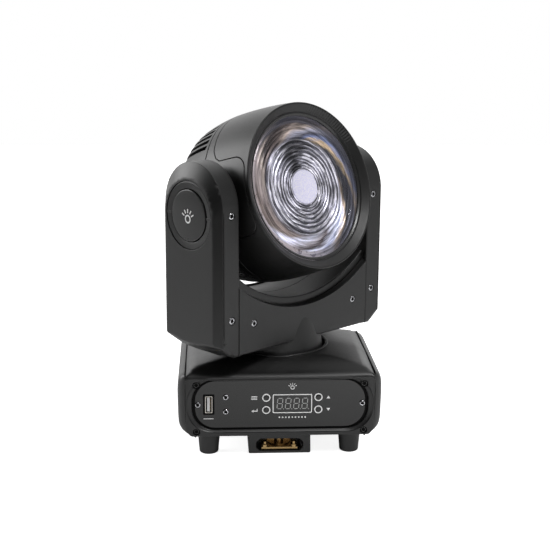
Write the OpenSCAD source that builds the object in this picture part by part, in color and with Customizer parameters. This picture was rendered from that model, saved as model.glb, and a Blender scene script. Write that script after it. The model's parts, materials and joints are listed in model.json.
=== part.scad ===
// Moving head wash light: a base with a display panel, a yoke that pans on it,
// and a round head with a stepped lens that tilts between the yoke arms.
// The front is -Y, +Z is up, and the origin is on the pan axis, level with the feet.

/* [Base] */
// Width of the base over its side covers
base_w = 158; // [154:1:164]
// Depth of the base from front bezel to rear panel
base_d = 120; // [118:1:126]
// Height of the four rubber feet
foot_h = 17.5; // [16.5:0.5:17.5]
// Height of the round lip that the yoke neck turns in
lip_z = 76.5; // [76:0.1:77.5]
// Height of the top cover's edge
edge_z = 66.8; // [66:0.1:67.5]
// Moulded wall thickness of the covers
wall = 2.5; // [2:0.1:2.8]

/* [Control panel] */
// Width of the opening in the front bezel
panel_w = 131.6; // [128:0.2:132]
// Distance of the display centre to the right of the middle
display_x = 9.3; // [0:0.1:12]
// Sideways distance between the button columns
button_pitch_x = 40.2; // [36:0.2:44]
// Height between the button rows
button_pitch_z = 9.9; // [8:0.1:11]
// Travel of a button
button_travel = 0.4; // [0.2:0.1:0.4]

/* [Yoke] */
// Width over the yoke arms
yoke_w = 182; // [180:1:186]
// Depth of the yoke, which is also the width of an arm
yoke_d = 66; // [66:0.5:68]
// Clear width between the arms
yoke_gap = 139.6; // [139.2:0.1:140]
// Height of the yoke's underside
yoke_z = 84.5; // [84:0.1:84.8]
// Angle that the yoke is turned to at rest, from facing front
pan_rest = 40.5; // [-90:0.5:90]

/* [Head] */
// Height of the tilt axis
tilt_z = 196.5; // [196:0.5:200]
// Angle that the lens is tipped up to at rest
tilt_rest = 17; // [-20:0.5:110]
// Distance from the tilt axis to the front rim
rim_y = 40; // [40:0.1:41]
// Radius of the lens
lens_r = 57.2; // [55:0.1:57.2]

/* [Drive] */
// Teeth on each motor pulley
motor_teeth = 16; // [16:1:17]
// Teeth on the pan pulley
pan_teeth = 66; // [64:1:66]
// Teeth on the tilt pulley
tilt_teeth = 48; // [44:1:52]
// Belt pitch
belt_pitch = 3; // [3:0.01:3.02]

/* [Hidden] */

// Smoothness of curves, and of the curves inside hull()
$fn = 96;
hull_fn = 32;
// Gap between two covers, and radial running fit of a shaft
gap = 0.1;
fit = 0.03;
eps = 0.01;

// Base
seam_x = 73;
corner_r = 10;
side_corner_r = 11;
front_y = -base_d / 2;
rear_y = base_d / 2;
bezel_top_z = 64.5;
bezel_t = 6;
bezel_in_y = front_y + bezel_t;
lip_r = 41.4;
lip_bore_r = 39.4;
plate_t = 2;
plate_half_w = 65.4;
foot_x = 55;
foot_y = 45;
eye_y = 66;
eye_r = 5;

// Control panel
panel_z0 = 23;
panel_z1 = 61.5;
panel_corner_r = 16;
panel_y = front_y + 2.8;
panel_t = 2;
panel_zc = 42.6;
window_w = 29.4;
window_h = 14.2;
button_r = 2.2;
button_flange_t = 1;
usb_x = -55;
usb_w = 5.1;
usb_h = 13.1;
usb_screw_x = -42;
usb_screw_dz = 5.9;
end_screw_x = 63.4;
corner_screw_x = 64.5;
corner_screw_z = [21.3, 58.9];
board_y = -50;
button_back_y = panel_y + panel_t + gap + button_flange_t;
switch_y = button_back_y + button_travel + gap;
screw_head_r = 2.6;
shank_r = 1.5;

// Rear connectors
inlet_x = -42;
socket_x = [8, 42];
rear_zc = 41;
panel_rear_y = rear_y - 3;

// Bracket under the base
bracket_w = 48.5;
bracket_l = 106;
bracket_z0 = 0.5;
tunnel_w = 35;
tunnel_z0 = 3.2;
tunnel_z1 = 12.4;
lock_y = 38;
clamp_hole_r = 5.5;
stud_r = 4;

// Pan drive
bearing_r = 26;
shaft_r = 20;
bearing_z0 = 50.5;
bearing_h = 7;
deck_z = 55;
deck_t = 2.5;
pan_motor_pos = [-50, 14.3];
pan_motor_w = 35;
pulley_z = 59.5;
pulley_h = 8;
flange_t = 1;
belt_t = 1.4;
tooth_h = 0.9;
pan_r = pan_teeth * belt_pitch / (2 * PI);
motor_r = motor_teeth * belt_pitch / (2 * PI);
tilt_r = tilt_teeth * belt_pitch / (2 * PI);
motor_shaft_r = 2.5;

// Yoke
arm_out = yoke_w / 2;
arm_in = yoke_gap / 2 + gap;
arm_seam = arm_out - 5;
arm_r = yoke_d / 2;
cap_z = tilt_z - 6.5;
cap_r = 19.3;
dish_r = 25.6;
saddle_z = 222.8;
saddle_r = 104.5;
cover_arc_r = 110;
saddle_half_d = 28;
neck_r0 = 37.5;
neck_r1 = 33;
neck_z0 = 71;
neck_z1 = 102.7;
frame_z = yoke_z + wall;
frame_t = 2;
frame_x = 75;
arm_screws = [[77, tilt_z - 4.3], [77, 113.6]];
centre_screw = [54.6, 107.7];
tilt_motor_z = 108;
tilt_motor_w = 28;
tilt_pulley_x = 79.2;
tilt_pulley_w = 6;
trunnion_r = 7.5;
tilt_bearing_r = 13;
tilt_bearing_w = 4.5;

// Head
lens_front_y = -rim_y + 5.8;
mid_y0 = 10;
mid_y1 = 16;
back_y = 56;
side_panel_h = 54;
side_panel_y0 = 3.6 - rim_y;
slot_step = 5.5;
slot_count = 19;
slot_w = 3;
fan_w = 60;
fan_y = 37;
fan_t = 15;
fan_screw = 25;
fin_pitch = 5.2;

// Outside of the head as [radius, distance behind the tilt axis]
front_line = [
    [64.3, -rim_y], [65.6, -30], [66.6, -20], [67.3, -10], [67.8, 0], [68, mid_y0]
];
rear_line = [
    [67.7, mid_y1], [67.3, 22], [66.5, 30], [64.5, 40], [61.5, 46], [57, 51], [52, 54.5],
    [46, back_y]
];

function shifted(points, dr, dy) = [for (p = points) [p[0] + dr, p[1] + dy]];
function reversed(points) = [for (i = [len(points) - 1:-1:0]) points[i]];
function arc(c, r, a0, a1, n) =
    [for (i = [0:n]) c + r * [cos(a0 + (a1 - a0) * i / n), sin(a0 + (a1 - a0) * i / n)]];

// ---------- placing ----------

module in_yoke() {
    rotate([0, 0, pan_rest]) children();
}

module in_head() {
    in_yoke() translate([0, 0, tilt_z]) rotate([-tilt_rest, 0, 0]) children();
}

// Turns a shape drawn in X and Z and extruded towards +Y from y
module along_y(y, t) {
    translate([0, y + t, 0]) rotate([90, 0, 0]) linear_extrude(t) children();
}

// Turns a shape drawn in Y and Z and extruded towards +X from x
module along_x(x, t) {
    translate([x, 0, 0]) rotate([90, 0, 90]) linear_extrude(t) children();
}

// Rotates an outline of [radius, y] about the Y axis
module revolve_y(points) {
    rotate([-90, 0, 0]) rotate_extrude($fn = 180) polygon(points);
}

module pin_y(r, y, t) {
    translate([0, y, 0]) rotate([-90, 0, 0]) cylinder(r = r, h = t);
}

module pin_x(r, x, t) {
    translate([x, 0, 0]) rotate([0, 90, 0]) cylinder(r = r, h = t);
}

module on_sides() {
    children();
    mirror([1, 0, 0]) children();
}

// ---------- shared shapes ----------

module round_rect(w, h, r) {
    square([w - 2 * r, h], center = true);
    square([w, h - 2 * r], center = true);
    for (x = [-1, 1], y = [-1, 1]) {
        translate([x * (w / 2 - r), y * (h / 2 - r)]) circle(r);
    }
}

// Outline of a face between the side covers, with round lower corners
module face_outline(half_w) {
    top = bezel_top_z - corner_r - foot_h;
    translate([-half_w, foot_h + corner_r]) square([2 * half_w, top]);
    translate([corner_r - half_w, foot_h]) square([2 * (half_w - corner_r), corner_r + 1]);
    for (x = [-1, 1]) translate([x * (half_w - corner_r), foot_h + corner_r]) circle(corner_r);
}

module panel_outline(inset) {
    translate([0, (panel_z0 + panel_z1) / 2])
        round_rect(panel_w - 2 * inset, panel_z1 - panel_z0 - 2 * inset, panel_corner_r - inset);
}

// Pan head screw along +Y, its head in front of y and its shank behind it
module screw_y(x, y, z, shank_l, head_r = screw_head_r, head_t = 1.6) {
    translate([x, 0, z]) difference() {
        union() {
            pin_y(head_r, y - head_t, head_t);
            pin_y(shank_r, y - eps, shank_l);
        }
        translate([0, y - head_t - eps, 0]) rotate([-90, 0, 0])
            cylinder(r = 1.3, h = 0.9, $fn = 6);
    }
}

// Toothed wheel along +Z between two flanges
module pulley(teeth, h, bore) {
    r = teeth * belt_pitch / (2 * PI);
    step = 360 / teeth;
    difference() {
        union() {
            linear_extrude(h) polygon([
                for (i = [0:teeth - 1], k = [[0, 0], [0.28, 0], [0.42, 1], [0.86, 1]])
                    (r - k[1] * tooth_h) * [cos((i + k[0]) * step), sin((i + k[0]) * step)]
            ]);
            for (z = [-flange_t, h]) translate([0, 0, z]) cylinder(r = r + 1.7, h = flange_t);
        }
        translate([0, 0, -2 * flange_t]) cylinder(r = bore, h = h + 4 * flange_t);
    }
}

// Outline of a belt that runs round circles at the origin and at [d, 0]
module belt_outline(d, r0, r1) {
    a = acos((r0 - r1) / d);
    polygon(concat(arc([0, 0], r0, a, 360 - a, 60), arc([d, 0], r1, -a, a, 30)));
}

module belt(d, r0, r1, h) {
    linear_extrude(h) difference() {
        belt_outline(d, r0 + belt_t, r1 + belt_t);
        belt_outline(d, r0 + 3 * fit, r1 + 3 * fit);
    }
}

module ball_bearing(r_out, r_in, h) {
    difference() {
        cylinder(r = r_out, h = h);
        translate([0, 0, -1]) cylinder(r = r_in, h = h + 2);
        for (z = [-eps, h - 0.5]) translate([0, 0, z]) difference() {
            cylinder(r = r_out - (r_out - r_in) * 0.3, h = 0.5 + eps);
            cylinder(r = r_in + (r_out - r_in) * 0.3, h = 0.5 + eps);
        }
    }
}

// ---------- base ----------

module base_plate() {
    color("dimgray") difference() {
        union() {
            translate([-plate_half_w, bezel_in_y + gap, foot_h])
                cube([2 * plate_half_w, panel_rear_y - bezel_in_y - 2 * gap, plate_t]);
            translate([-12, panel_rear_y - 1, foot_h]) cube([24, eye_y - panel_rear_y, plate_t]);
            translate([0, eye_y, foot_h]) cylinder(r = 12, h = plate_t);
            for (x = [-1, 1]) translate([x * 62.4 - 3, bezel_in_y + gap, foot_h + 1])
                cube([6, 10, 7]);
        }
        translate([0, eye_y, foot_h - 1]) cylinder(r = eye_r, h = plate_t + 2);
        for (y = [-lock_y, lock_y]) {
            translate([0, y, foot_h - 1]) cylinder(r = stud_r + gap, h = plate_t + 2);
            translate([-1.6, y - 6.8, foot_h - 1]) cube([3.2, 13.6, plate_t + 2]);
        }
        for (x = [-1, 1]) translate([x * corner_screw_x, 0, corner_screw_z[0]])
            pin_y(shank_r + fit, bezel_in_y, 12);
    }
}

// Roof that falls from the lip to the edges on all four sides
module roof(drop, half_w, half_d) {
    intersection() {
        along_y(-half_d, 2 * half_d) polygon([
            [-half_w, bezel_top_z + gap], [-half_w, edge_z - drop], [-lip_r, lip_z - drop],
            [lip_r, lip_z - drop], [half_w, edge_z - drop], [half_w, bezel_top_z + gap]
        ]);
        along_x(-half_w, 2 * half_w) polygon([
            [-half_d, bezel_top_z + gap], [-half_d, edge_z - drop], [-lip_r, lip_z - drop],
            [lip_r, lip_z - drop], [half_d, edge_z - drop], [half_d, bezel_top_z + gap]
        ]);
    }
}

module base_top_cover() {
    color("#2b2b2d") difference() {
        union() {
            difference() {
                roof(0, seam_x - gap, rear_y);
                translate([0, 0, -0.2]) roof(wall, seam_x - wall, rear_y - wall);
                translate([-60, wall - rear_y, bezel_top_z - 1])
                    cube([120, base_d - 2 * wall, 1.4]);
            }
            translate([0, 0, lip_z - 5]) cylinder(r = lip_r, h = 5);
            for (x = [-1, 1]) translate([x * (corner_screw_x - 1) - 3, bezel_in_y + gap, 55.5])
                cube([6, 10, bezel_top_z - 54]);
        }
        translate([0, 0, 60]) cylinder(r = lip_bore_r, h = 20);
        for (x = [-1, 1]) translate([x * corner_screw_x, 0, corner_screw_z[1]])
            pin_y(shank_r + fit, bezel_in_y, 12);
    }
}

// Cross-section of the right side cover, moved in by inset
function side_points(inset) = concat(
    [[plate_half_w + gap, foot_h + inset]],
    arc([68, foot_h + side_corner_r], side_corner_r - inset, -90, -8, 8),
    [[base_w / 2 - inset, 47]],
    arc([base_w / 2 - 5.6, edge_z - 5.6], 5 - inset, 5, 85, 5),
    [[seam_x, edge_z - inset]],
    [[seam_x, foot_h + corner_r + 2], [plate_half_w + gap, foot_h + 6]]
);

module base_side() {
    difference() {
        intersection() {
            along_y(front_y, base_d) polygon(side_points(0));
            translate([0, 0, foot_h]) linear_extrude(edge_z)
                round_rect(base_w, base_d, corner_r);
        }
        along_y(front_y + wall, base_d - 2 * wall) polygon(concat(
            [[seam_x - 8, foot_h + wall]],
            arc([68, foot_h + side_corner_r], side_corner_r - wall, -90, -8, 8),
            [[base_w / 2 - wall, 47], [base_w / 2 - wall - 0.6, edge_z - 6]],
            [[seam_x - 8, edge_z - wall - 3]]
        ));
        along_y(front_y - 1, bezel_t + 2) face_outline(seam_x);
        along_y(rear_y - 4, 6) face_outline(seam_x);
    }
}

module base_side_left() {
    color("#303033") mirror([1, 0, 0]) base_side();
}

module base_side_right() {
    color("#303033") base_side();
}

module front_bezel() {
    color("#38383a") difference() {
        union() {
            along_y(front_y, bezel_t) difference() {
                face_outline(seam_x - gap);
                panel_outline(0);
            }
            for (x = [-1, 1]) translate([x * 64 - 4, panel_y + panel_t + gap, panel_zc - 4])
                cube([8, 6, 8]);
        }
        for (x = [-1, 1]) {
            for (z = corner_screw_z) translate([x * corner_screw_x, 0, z]) {
                pin_y(3, front_y - 1, 4);
                pin_y(shank_r + gap, front_y, bezel_t + 1);
            }
            translate([x * end_screw_x, 0, panel_zc]) pin_y(shank_r + fit, panel_y, 12);
        }
    }
}

module panel_buttons(r) {
    for (x = [-1, 1], z = [-1, 1])
        translate([display_x + x * button_pitch_x / 2, 0, panel_zc + z * button_pitch_z / 2])
            pin_y(r, front_y, 10);
}

module panel_screw_places() {
    for (x = [-1, 1]) translate([x * end_screw_x, 0, panel_zc]) children();
    for (z = [-1, 1]) translate([usb_screw_x, 0, panel_zc + z * usb_screw_dz]) children();
}

module control_panel() {
    color("#1a1a1b") difference() {
        along_y(panel_y, panel_t) difference() {
            panel_outline(gap);
            translate([display_x, panel_zc])
                square([window_w + 2 * gap, window_h + 2 * gap], center = true);
            translate([usb_x, panel_zc]) square([usb_w + 0.6, usb_h + 0.6], center = true);
        }
        panel_buttons(button_r + gap);
        panel_screw_places() pin_y(shank_r + fit, front_y, 10);
    }
}

module display_module() {
    color("#161412")
        translate([display_x - window_w / 2, panel_y + 0.05, panel_zc - window_h / 2])
            cube([window_w, board_y - panel_y - 0.1, window_h]);
}

module control_board() {
    color("darkgreen") union() {
        translate([-36, board_y, 26]) cube([96, 1.6, 32]);
        for (x = [-1, 1], z = [-1, 1]) translate([
            display_x + x * button_pitch_x / 2 - 3, switch_y,
            panel_zc + z * button_pitch_z / 2 - 3
        ]) cube([6, board_y - switch_y + gap, 6]);
        for (x = [-30, -18, 36]) translate([x, board_y + 1.5, 34]) cube([9, 3, 12]);
    }
}

module usb_socket() {
    shell_y = panel_y - 0.2;
    color("silver") difference() {
        union() {
            translate([usb_x - usb_w / 2, shell_y, panel_zc - usb_h / 2])
                cube([usb_w, 13, usb_h]);
            translate([usb_x - 4.4, panel_y + panel_t + gap, panel_zc - 8.4])
                cube([22.6, 1, 16.8]);
        }
        translate([usb_x - usb_w / 2 + 0.3, shell_y - 1, panel_zc - usb_h / 2 + 0.3]) difference() {
            cube([usb_w - 0.6, 11, usb_h - 0.6]);
            translate([1.9, 2, 0.8]) cube([1.8, 11, usb_h - 2.2]);
        }
        panel_screw_places() pin_y(shank_r + fit, front_y, 12);
    }
}

module button(sx, sz) {
    color("#101010") translate([
        display_x + sx * button_pitch_x / 2, 0, panel_zc + sz * button_pitch_z / 2
    ]) {
        pin_y(button_r, panel_y - 0.5, 3.2);
        pin_y(button_r + 0.9, button_back_y - button_flange_t, button_flange_t);
    }
}

module button_upper_left() {
    button(-1, 1);
}

module button_lower_left() {
    button(-1, -1);
}

module button_upper_right() {
    button(1, 1);
}

module button_lower_right() {
    button(1, -1);
}

module rear_panel() {
    color("#26262a") difference() {
        along_y(panel_rear_y, 2) difference() {
            face_outline(seam_x - gap);
            translate([-12 - gap, foot_h - 1]) square([24 + 2 * gap, plate_t + 1 + gap]);
            translate([inlet_x, rear_zc]) square([28, 20.4], center = true);
            for (x = socket_x) translate([x, rear_zc]) circle(12);
        }
        rear_screw_places() pin_y(shank_r + fit, panel_rear_y - 1, 4);
    }
}

module rear_screw_places() {
    for (x = [-1, 1], z = corner_screw_z) translate([x * corner_screw_x, 0, z]) children();
    for (x = [-1, 1]) translate([inlet_x + x * 20, 0, rear_zc]) children();
    for (x = socket_x, s = [-1, 1]) translate([x + s * 9.5, 0, rear_zc + s * 12]) children();
}

module power_inlet() {
    color("#141414") difference() {
        union() {
            translate([inlet_x - 25, panel_rear_y + 2, rear_zc - 11.5]) cube([50, 2, 23]);
            translate([inlet_x - 13.8, panel_rear_y - 17, rear_zc - 10]) cube([27.6, 20, 20]);
        }
        translate([inlet_x - 12, panel_rear_y - 11, rear_zc - 8.2]) difference() {
            cube([24, 20, 16.4]);
            for (x = [4.4, 11, 17.6]) translate([x, -1, x == 11 ? 9 : 5]) cube([2, 12, 4]);
        }
        rear_screw_places() pin_y(shank_r + fit, panel_rear_y + 1, 4);
    }
}

module data_sockets() {
    color("#1c1c1c") difference() {
        for (x = socket_x) translate([x, 0, rear_zc]) difference() {
            union() {
                along_y(panel_rear_y + 2, 2) round_rect(26, 31, 2);
                pin_y(11.8, panel_rear_y - 12, 15);
            }
            difference() {
                pin_y(9.6, panel_rear_y - 9, 14);
                for (a = [90, 210, 330]) translate([5.4 * cos(a), 0, 5.4 * sin(a)])
                    pin_y(1.2, panel_rear_y - 10, 10);
            }
        }
        rear_screw_places() pin_y(shank_r + fit, panel_rear_y + 1, 4);
    }
}

module power_supply() {
    color("peru") union() {
        translate([-26, -24, 24]) cube([78, 56, 1.6]);
        for (x = [-20, 46], y = [-20, 28]) translate([x, y, foot_h + plate_t])
            cylinder(r = 2.5, h = 5);
        translate([22, -8, 25]) cube([24, 26, 18]);
        translate([-20, 12, 25]) cube([16, 14, 14]);
        for (y = [-14, 4]) translate([8, y, 25]) cylinder(r = 7, h = 20);
        translate([-20, -16, 25]) cube([14, 3, 16]);
    }
}

module pan_motor() {
    color("#3a3a3c") translate([pan_motor_pos[0], pan_motor_pos[1], 0]) union() {
        translate([0, 0, deck_z - 33]) linear_extrude(33 - gap)
            round_rect(pan_motor_w, pan_motor_w, 4);
        translate([0, 0, deck_z - 1]) cylinder(r = 11, h = 2.6);
        translate([0, 0, deck_z]) cylinder(r = motor_shaft_r, h = pulley_z + pulley_h - deck_z);
    }
}

module pan_bearing_plate() {
    color("slategray") difference() {
        union() {
            translate([-71, -32, deck_z]) cube([133, 74, deck_t]);
            translate([0, 0, bearing_z0 - 1]) cylinder(r = 30.5, h = deck_z - bearing_z0 + 2);
            for (x = [-61, 58], y = [-28, 38]) translate([x, y, foot_h + plate_t])
                cylinder(r = 3.6, h = deck_z - foot_h - plate_t + 1);
        }
        translate([0, 0, bearing_z0]) cylinder(r = bearing_r + 0.02, h = 20);
        translate([0, 0, bearing_z0 - 5]) cylinder(r = bearing_r - 3, h = 20);
        translate([pan_motor_pos[0], pan_motor_pos[1], deck_z - 1])
            cylinder(r = 11 + gap, h = deck_t + 2);
    }
}

module pan_bearing() {
    color("silver") translate([0, 0, bearing_z0]) ball_bearing(bearing_r, shaft_r + fit, bearing_h);
}

module pan_motor_pulley() {
    color("goldenrod") translate([pan_motor_pos[0], pan_motor_pos[1], pulley_z])
        pulley(motor_teeth, pulley_h - flange_t, motor_shaft_r + fit);
}

module pan_belt() {
    color("#202020") rotate([0, 0, atan2(pan_motor_pos[1], pan_motor_pos[0])])
        translate([0, 0, pulley_z + 0.2])
            belt(norm(pan_motor_pos), pan_r, motor_r, pulley_h - flange_t - 0.4);
}

module rubber_feet() {
    color("#1b1b1b") for (x = [-foot_x, foot_x], y = [-foot_y, foot_y]) translate([x, y, 0])
        difference() {
            union() {
                cylinder(r1 = 6.5, r2 = 7.3, h = 0.8);
                translate([0, 0, 0.8]) cylinder(r1 = 7.3, r2 = 8.2, h = foot_h - 0.8);
            }
            translate([0, 0, -1]) cylinder(r = 3.2, h = 7);
        }
}

module tunnel_outline() {
    w = tunnel_w / 2;
    z0 = tunnel_z0;
    polygon([
        [w - 3.4, z0], [w, z0 + 3.4], [w, tunnel_z1 - 3.4], [w - 3.4, tunnel_z1],
        [3.4 - w, tunnel_z1], [-w, tunnel_z1 - 3.4], [-w, z0 + 3.4], [3.4 - w, z0]
    ]);
}

module rigging_bracket() {
    color("#19191a") difference() {
        along_y(-bracket_l / 2, bracket_l) difference() {
            translate([0, (bracket_z0 + foot_h) / 2])
                round_rect(bracket_w, foot_h - bracket_z0 - 2 * eps, 1.6);
            tunnel_outline();
        }
        translate([0, 0, bracket_z0 - 1]) cylinder(r = clamp_hole_r, h = 6);
        for (y = [-lock_y, lock_y]) translate([0, y, 0]) {
            translate([0, 0, bracket_z0 - 1]) cylinder(r = 9, h = 6);
            cylinder(r = stud_r + gap, h = foot_h + 1);
            translate([-1.6, -6.8, tunnel_z1 - 1]) cube([3.2, 13.6, 8]);
        }
    }
}

module bracket_plates() {
    color("goldenrod") for (s = [-1, 1]) translate([0, s * lock_y, 0]) difference() {
        union() {
            translate([-14, -12.5, tunnel_z0 + eps]) cube([28, 25, 1.4]);
            for (x = [-11.4, 11.4]) translate([x, s * 10, tunnel_z0 + 1]) {
                cylinder(r = 2.6, h = 2.2);
                cylinder(r = 1.5, h = 4.4);
            }
        }
        translate([0, 0, bracket_z0]) cylinder(r = 9.1, h = 8);
    }
}

module quick_lock() {
    difference() {
        union() {
            translate([0, 0, 1.2]) cylinder(r = 8.7, h = 4.2);
            translate([-9.5, -1.5, 5.2]) cube([19, 3, 3.4]);
            translate([0, 0, 5]) cylinder(r = stud_r, h = foot_h + plate_t + 3.2 - 5);
            translate([-6.4, -1.2, foot_h + plate_t + 0.2]) cube([12.8, 2.4, 2.4]);
        }
        translate([-7, -0.9, 0]) cube([14, 1.8, 2.6]);
    }
}

module quick_lock_front() {
    color("khaki") translate([0, -lock_y, 0]) quick_lock();
}

module quick_lock_rear() {
    color("khaki") translate([0, lock_y, 0]) quick_lock();
}

module bezel_screws() {
    color("#101010") for (x = [-1, 1], z = corner_screw_z)
        screw_y(x * corner_screw_x, front_y + 3, z, 10);
}

module panel_screws() {
    color("silver") panel_screw_places() screw_y(0, panel_y, 0, 8, 2.3, 1.2);
}

module rear_screws() {
    color("#303030") {
        for (x = [-1, 1], z = corner_screw_z) translate([x * corner_screw_x, 0, z])
            mirror([0, 1, 0]) screw_y(0, -panel_rear_y - 2, 0, 6);
        for (x = [-1, 1]) translate([inlet_x + x * 20, 0, rear_zc])
            mirror([0, 1, 0]) screw_y(0, -panel_rear_y - 4, 0, 7);
        for (x = socket_x, s = [-1, 1]) translate([x + s * 9.5, 0, rear_zc + s * 12])
            mirror([0, 1, 0]) screw_y(0, -panel_rear_y - 4, 0, 7);
    }
}

// ---------- yoke ----------

module pan_shaft() {
    color("silver") in_yoke() difference() {
        union() {
            translate([0, 0, 47]) cylinder(r = shaft_r, h = frame_z - 47 - eps);
            translate([0, 0, 47.4]) cylinder(r = shaft_r + 2.2, h = 2);
            translate([0, 0, frame_z - 4]) cylinder(r = 28, h = 4 - eps);
        }
        translate([0, 0, 40]) cylinder(r = 14, h = 60);
    }
}

module pan_pulley() {
    color("goldenrod") in_yoke() translate([0, 0, pulley_z])
        pulley(pan_teeth, pulley_h - flange_t, shaft_r + 0.02);
}

module yoke_frame() {
    color("slategray") in_yoke() difference() {
        union() {
            translate([-frame_x, -24, frame_z]) cube([2 * frame_x, 48, frame_t]);
            on_sides() {
                along_x(frame_x - frame_t, frame_t) {
                    translate([-20, frame_z]) square([40, tilt_z - frame_z]);
                    translate([0, tilt_z]) circle(20);
                }
                translate([0, 0, tilt_z]) pin_x(16, frame_x - frame_t, tilt_bearing_w);
            }
        }
        on_sides() translate([0, 0, tilt_z])
            pin_x(tilt_bearing_r + 0.02, frame_x - frame_t - 1, 10);
        translate([0, 0, tilt_motor_z]) pin_x(11 + gap, -frame_x - 1, 6);
        translate([0, 0, frame_z - 1]) cylinder(r = 14, h = frame_t + 2);
    }
}

// Side view of an arm: a round top on straight sides
module arm_outline(r, z0) {
    translate([0, tilt_z]) circle(r);
    translate([-r, z0]) square([2 * r, tilt_z - z0]);
}

// Wedge below the bevel at the bottom outer corner of an arm
module arm_bevel_cut(inset) {
    along_y(-50, 100) polygon([
        [arm_out - 16, yoke_z - 1], [arm_out - 16, yoke_z + inset],
        [arm_out, yoke_z + 12.5 + inset], [arm_out + 9, yoke_z + 12.5 + inset],
        [arm_out + 9, yoke_z - 1]
    ]);
}

module arm_shell() {
    difference() {
        along_x(arm_in, arm_seam - arm_in) arm_outline(arm_r, yoke_z);
        difference() {
            along_x(arm_in + wall, 30) arm_outline(arm_r - wall, yoke_z + wall);
            arm_bevel_cut(wall);
        }
        arm_bevel_cut(0);
        translate([0, 0, tilt_z]) pin_x(14, arm_in - 1, 6);
        translate([arm_in - 1, -26, yoke_z + wall - gap])
            cube([6, 52, tilt_motor_z + tilt_motor_w / 2 + 1.5 - yoke_z]);
        for (s = arm_screws, m = [0, 1]) mirror([0, m, 0]) translate([s[0], 0, s[1]]) {
            pin_y(3.1, -arm_r - 1, 2);
            pin_y(shank_r + fit, -arm_r, 8);
        }
    }
}

module arm_shell_left() {
    color("#2e2e30") in_yoke() mirror([1, 0, 0]) arm_shell();
}

module arm_shell_right() {
    color("#2e2e30") in_yoke() arm_shell();
}

module arm_cover() {
    difference() {
        hull() {
            along_x(arm_seam + gap, 0.5) arm_outline(arm_r, yoke_z + 9, $fn = hull_fn);
            along_x(arm_out - 0.5, 0.5) arm_outline(arm_r - 5, yoke_z + 12, $fn = hull_fn);
        }
        along_x(arm_seam - 1, 3.4) arm_outline(arm_r - 5.5, yoke_z + 13);
        arm_bevel_cut(0);
        translate([0, 0, cap_z]) difference() {
            pin_x(dish_r, arm_out - 1, 2);
            pin_x(cap_r + 1.6, arm_out - 2, 4);
        }
        translate([0, 0, cap_z]) pin_x(cap_r + gap, arm_out - 1.4, 3);
    }
}

module arm_cover_left() {
    color("#343436") in_yoke() mirror([1, 0, 0]) arm_cover();
}

module arm_cover_right() {
    color("#343436") in_yoke() arm_cover();
}

module arm_caps() {
    color("#242425") in_yoke() on_sides() translate([arm_out - 1.3, 0, cap_z])
        rotate([0, 90, 0]) rotate_extrude() polygon([
            [0, 0], [cap_r, 0], [cap_r, 0.9], [cap_r - 0.6, 1.3], [cap_r * 0.6, 1.55], [0, 1.7]
        ]);
}

// Half of the yoke's middle, in front of the pan axis
module centre_cover() {
    half_w = yoke_gap / 2;
    difference() {
        union() {
            translate([-half_w, -arm_r, yoke_z]) cube([2 * half_w, arm_r, 60]);
            translate([0, 0, neck_z0])
                cylinder(r1 = neck_r0, r2 = neck_r1, h = neck_z1 - neck_z0);
        }
        translate([-half_w - 1, wall - arm_r, yoke_z + wall]) cube([2 * half_w + 2, arm_r, 60]);
        translate([0, 0, neck_z0 - 1]) cylinder(r = neck_r1 - wall, h = 40);
        translate([0, 0, saddle_z]) pin_y(cover_arc_r, -arm_r - 1, 2 * arm_r, $fn = 360);
        translate([-80, -gap / 2, neck_z0 - 1]) cube([160, 60, 90]);
        on_sides() translate([centre_screw[0], 0, centre_screw[1]]) {
            pin_y(3.1, -arm_r - 1, 2);
            pin_y(shank_r + fit, -arm_r, 8);
        }
    }
}

module centre_cover_front() {
    color("#2c2c2e") in_yoke() centre_cover();
}

module centre_cover_rear() {
    color("#2c2c2e") in_yoke() mirror([0, 1, 0]) centre_cover();
}

module saddle_cover() {
    half_w = yoke_gap / 2 - gap;
    depth = 2 * saddle_half_d;
    color("#29292b") in_yoke() difference() {
        intersection() {
            translate([-half_w, -saddle_half_d, yoke_z]) cube([2 * half_w, depth, 80]);
            translate([0, 0, saddle_z]) pin_y(saddle_r + 9, -saddle_half_d, depth, $fn = 360);
        }
        translate([0, 0, saddle_z]) {
            pin_y(saddle_r, -arm_r, 2 * arm_r, $fn = 360);
            difference() {
                pin_y(saddle_r + 12, 2 - saddle_half_d, depth - 4, $fn = 360);
                pin_y(saddle_r + wall, -arm_r, 2 * arm_r, $fn = 360);
            }
        }
    }
}

module tilt_motor() {
    face_x = frame_t - frame_x;
    color("#3a3a3c") in_yoke() translate([0, 0, tilt_motor_z]) union() {
        along_x(face_x + gap, 29) round_rect(tilt_motor_w, tilt_motor_w, 3);
        pin_x(11, -frame_x, 3);
        pin_x(motor_shaft_r, -tilt_pulley_x - tilt_pulley_w - 0.8, 14);
    }
}

module tilt_motor_pulley() {
    color("goldenrod") in_yoke() translate([-tilt_pulley_x, 0, tilt_motor_z])
        rotate([0, -90, 0]) pulley(motor_teeth, tilt_pulley_w, motor_shaft_r + fit);
}

module tilt_belt() {
    color("#202020") in_yoke() translate([-tilt_pulley_x - tilt_pulley_w + 0.2, 0, tilt_z])
        rotate([0, 90, 0])
            belt(tilt_z - tilt_motor_z, tilt_r, motor_r, tilt_pulley_w - 0.4);
}

module tilt_bearings() {
    color("silver") in_yoke() on_sides() translate([frame_x - frame_t, 0, tilt_z])
        rotate([0, 90, 0]) ball_bearing(tilt_bearing_r, trunnion_r + fit, tilt_bearing_w);
}

module yoke_screws() {
    color("silver") in_yoke() for (m = [0, 1]) mirror([0, m, 0]) on_sides() {
        for (s = concat(arm_screws, [centre_screw])) screw_y(s[0], 1 - arm_r, s[1], 7, 2.7, 1.2);
    }
}

// ---------- head ----------

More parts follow.
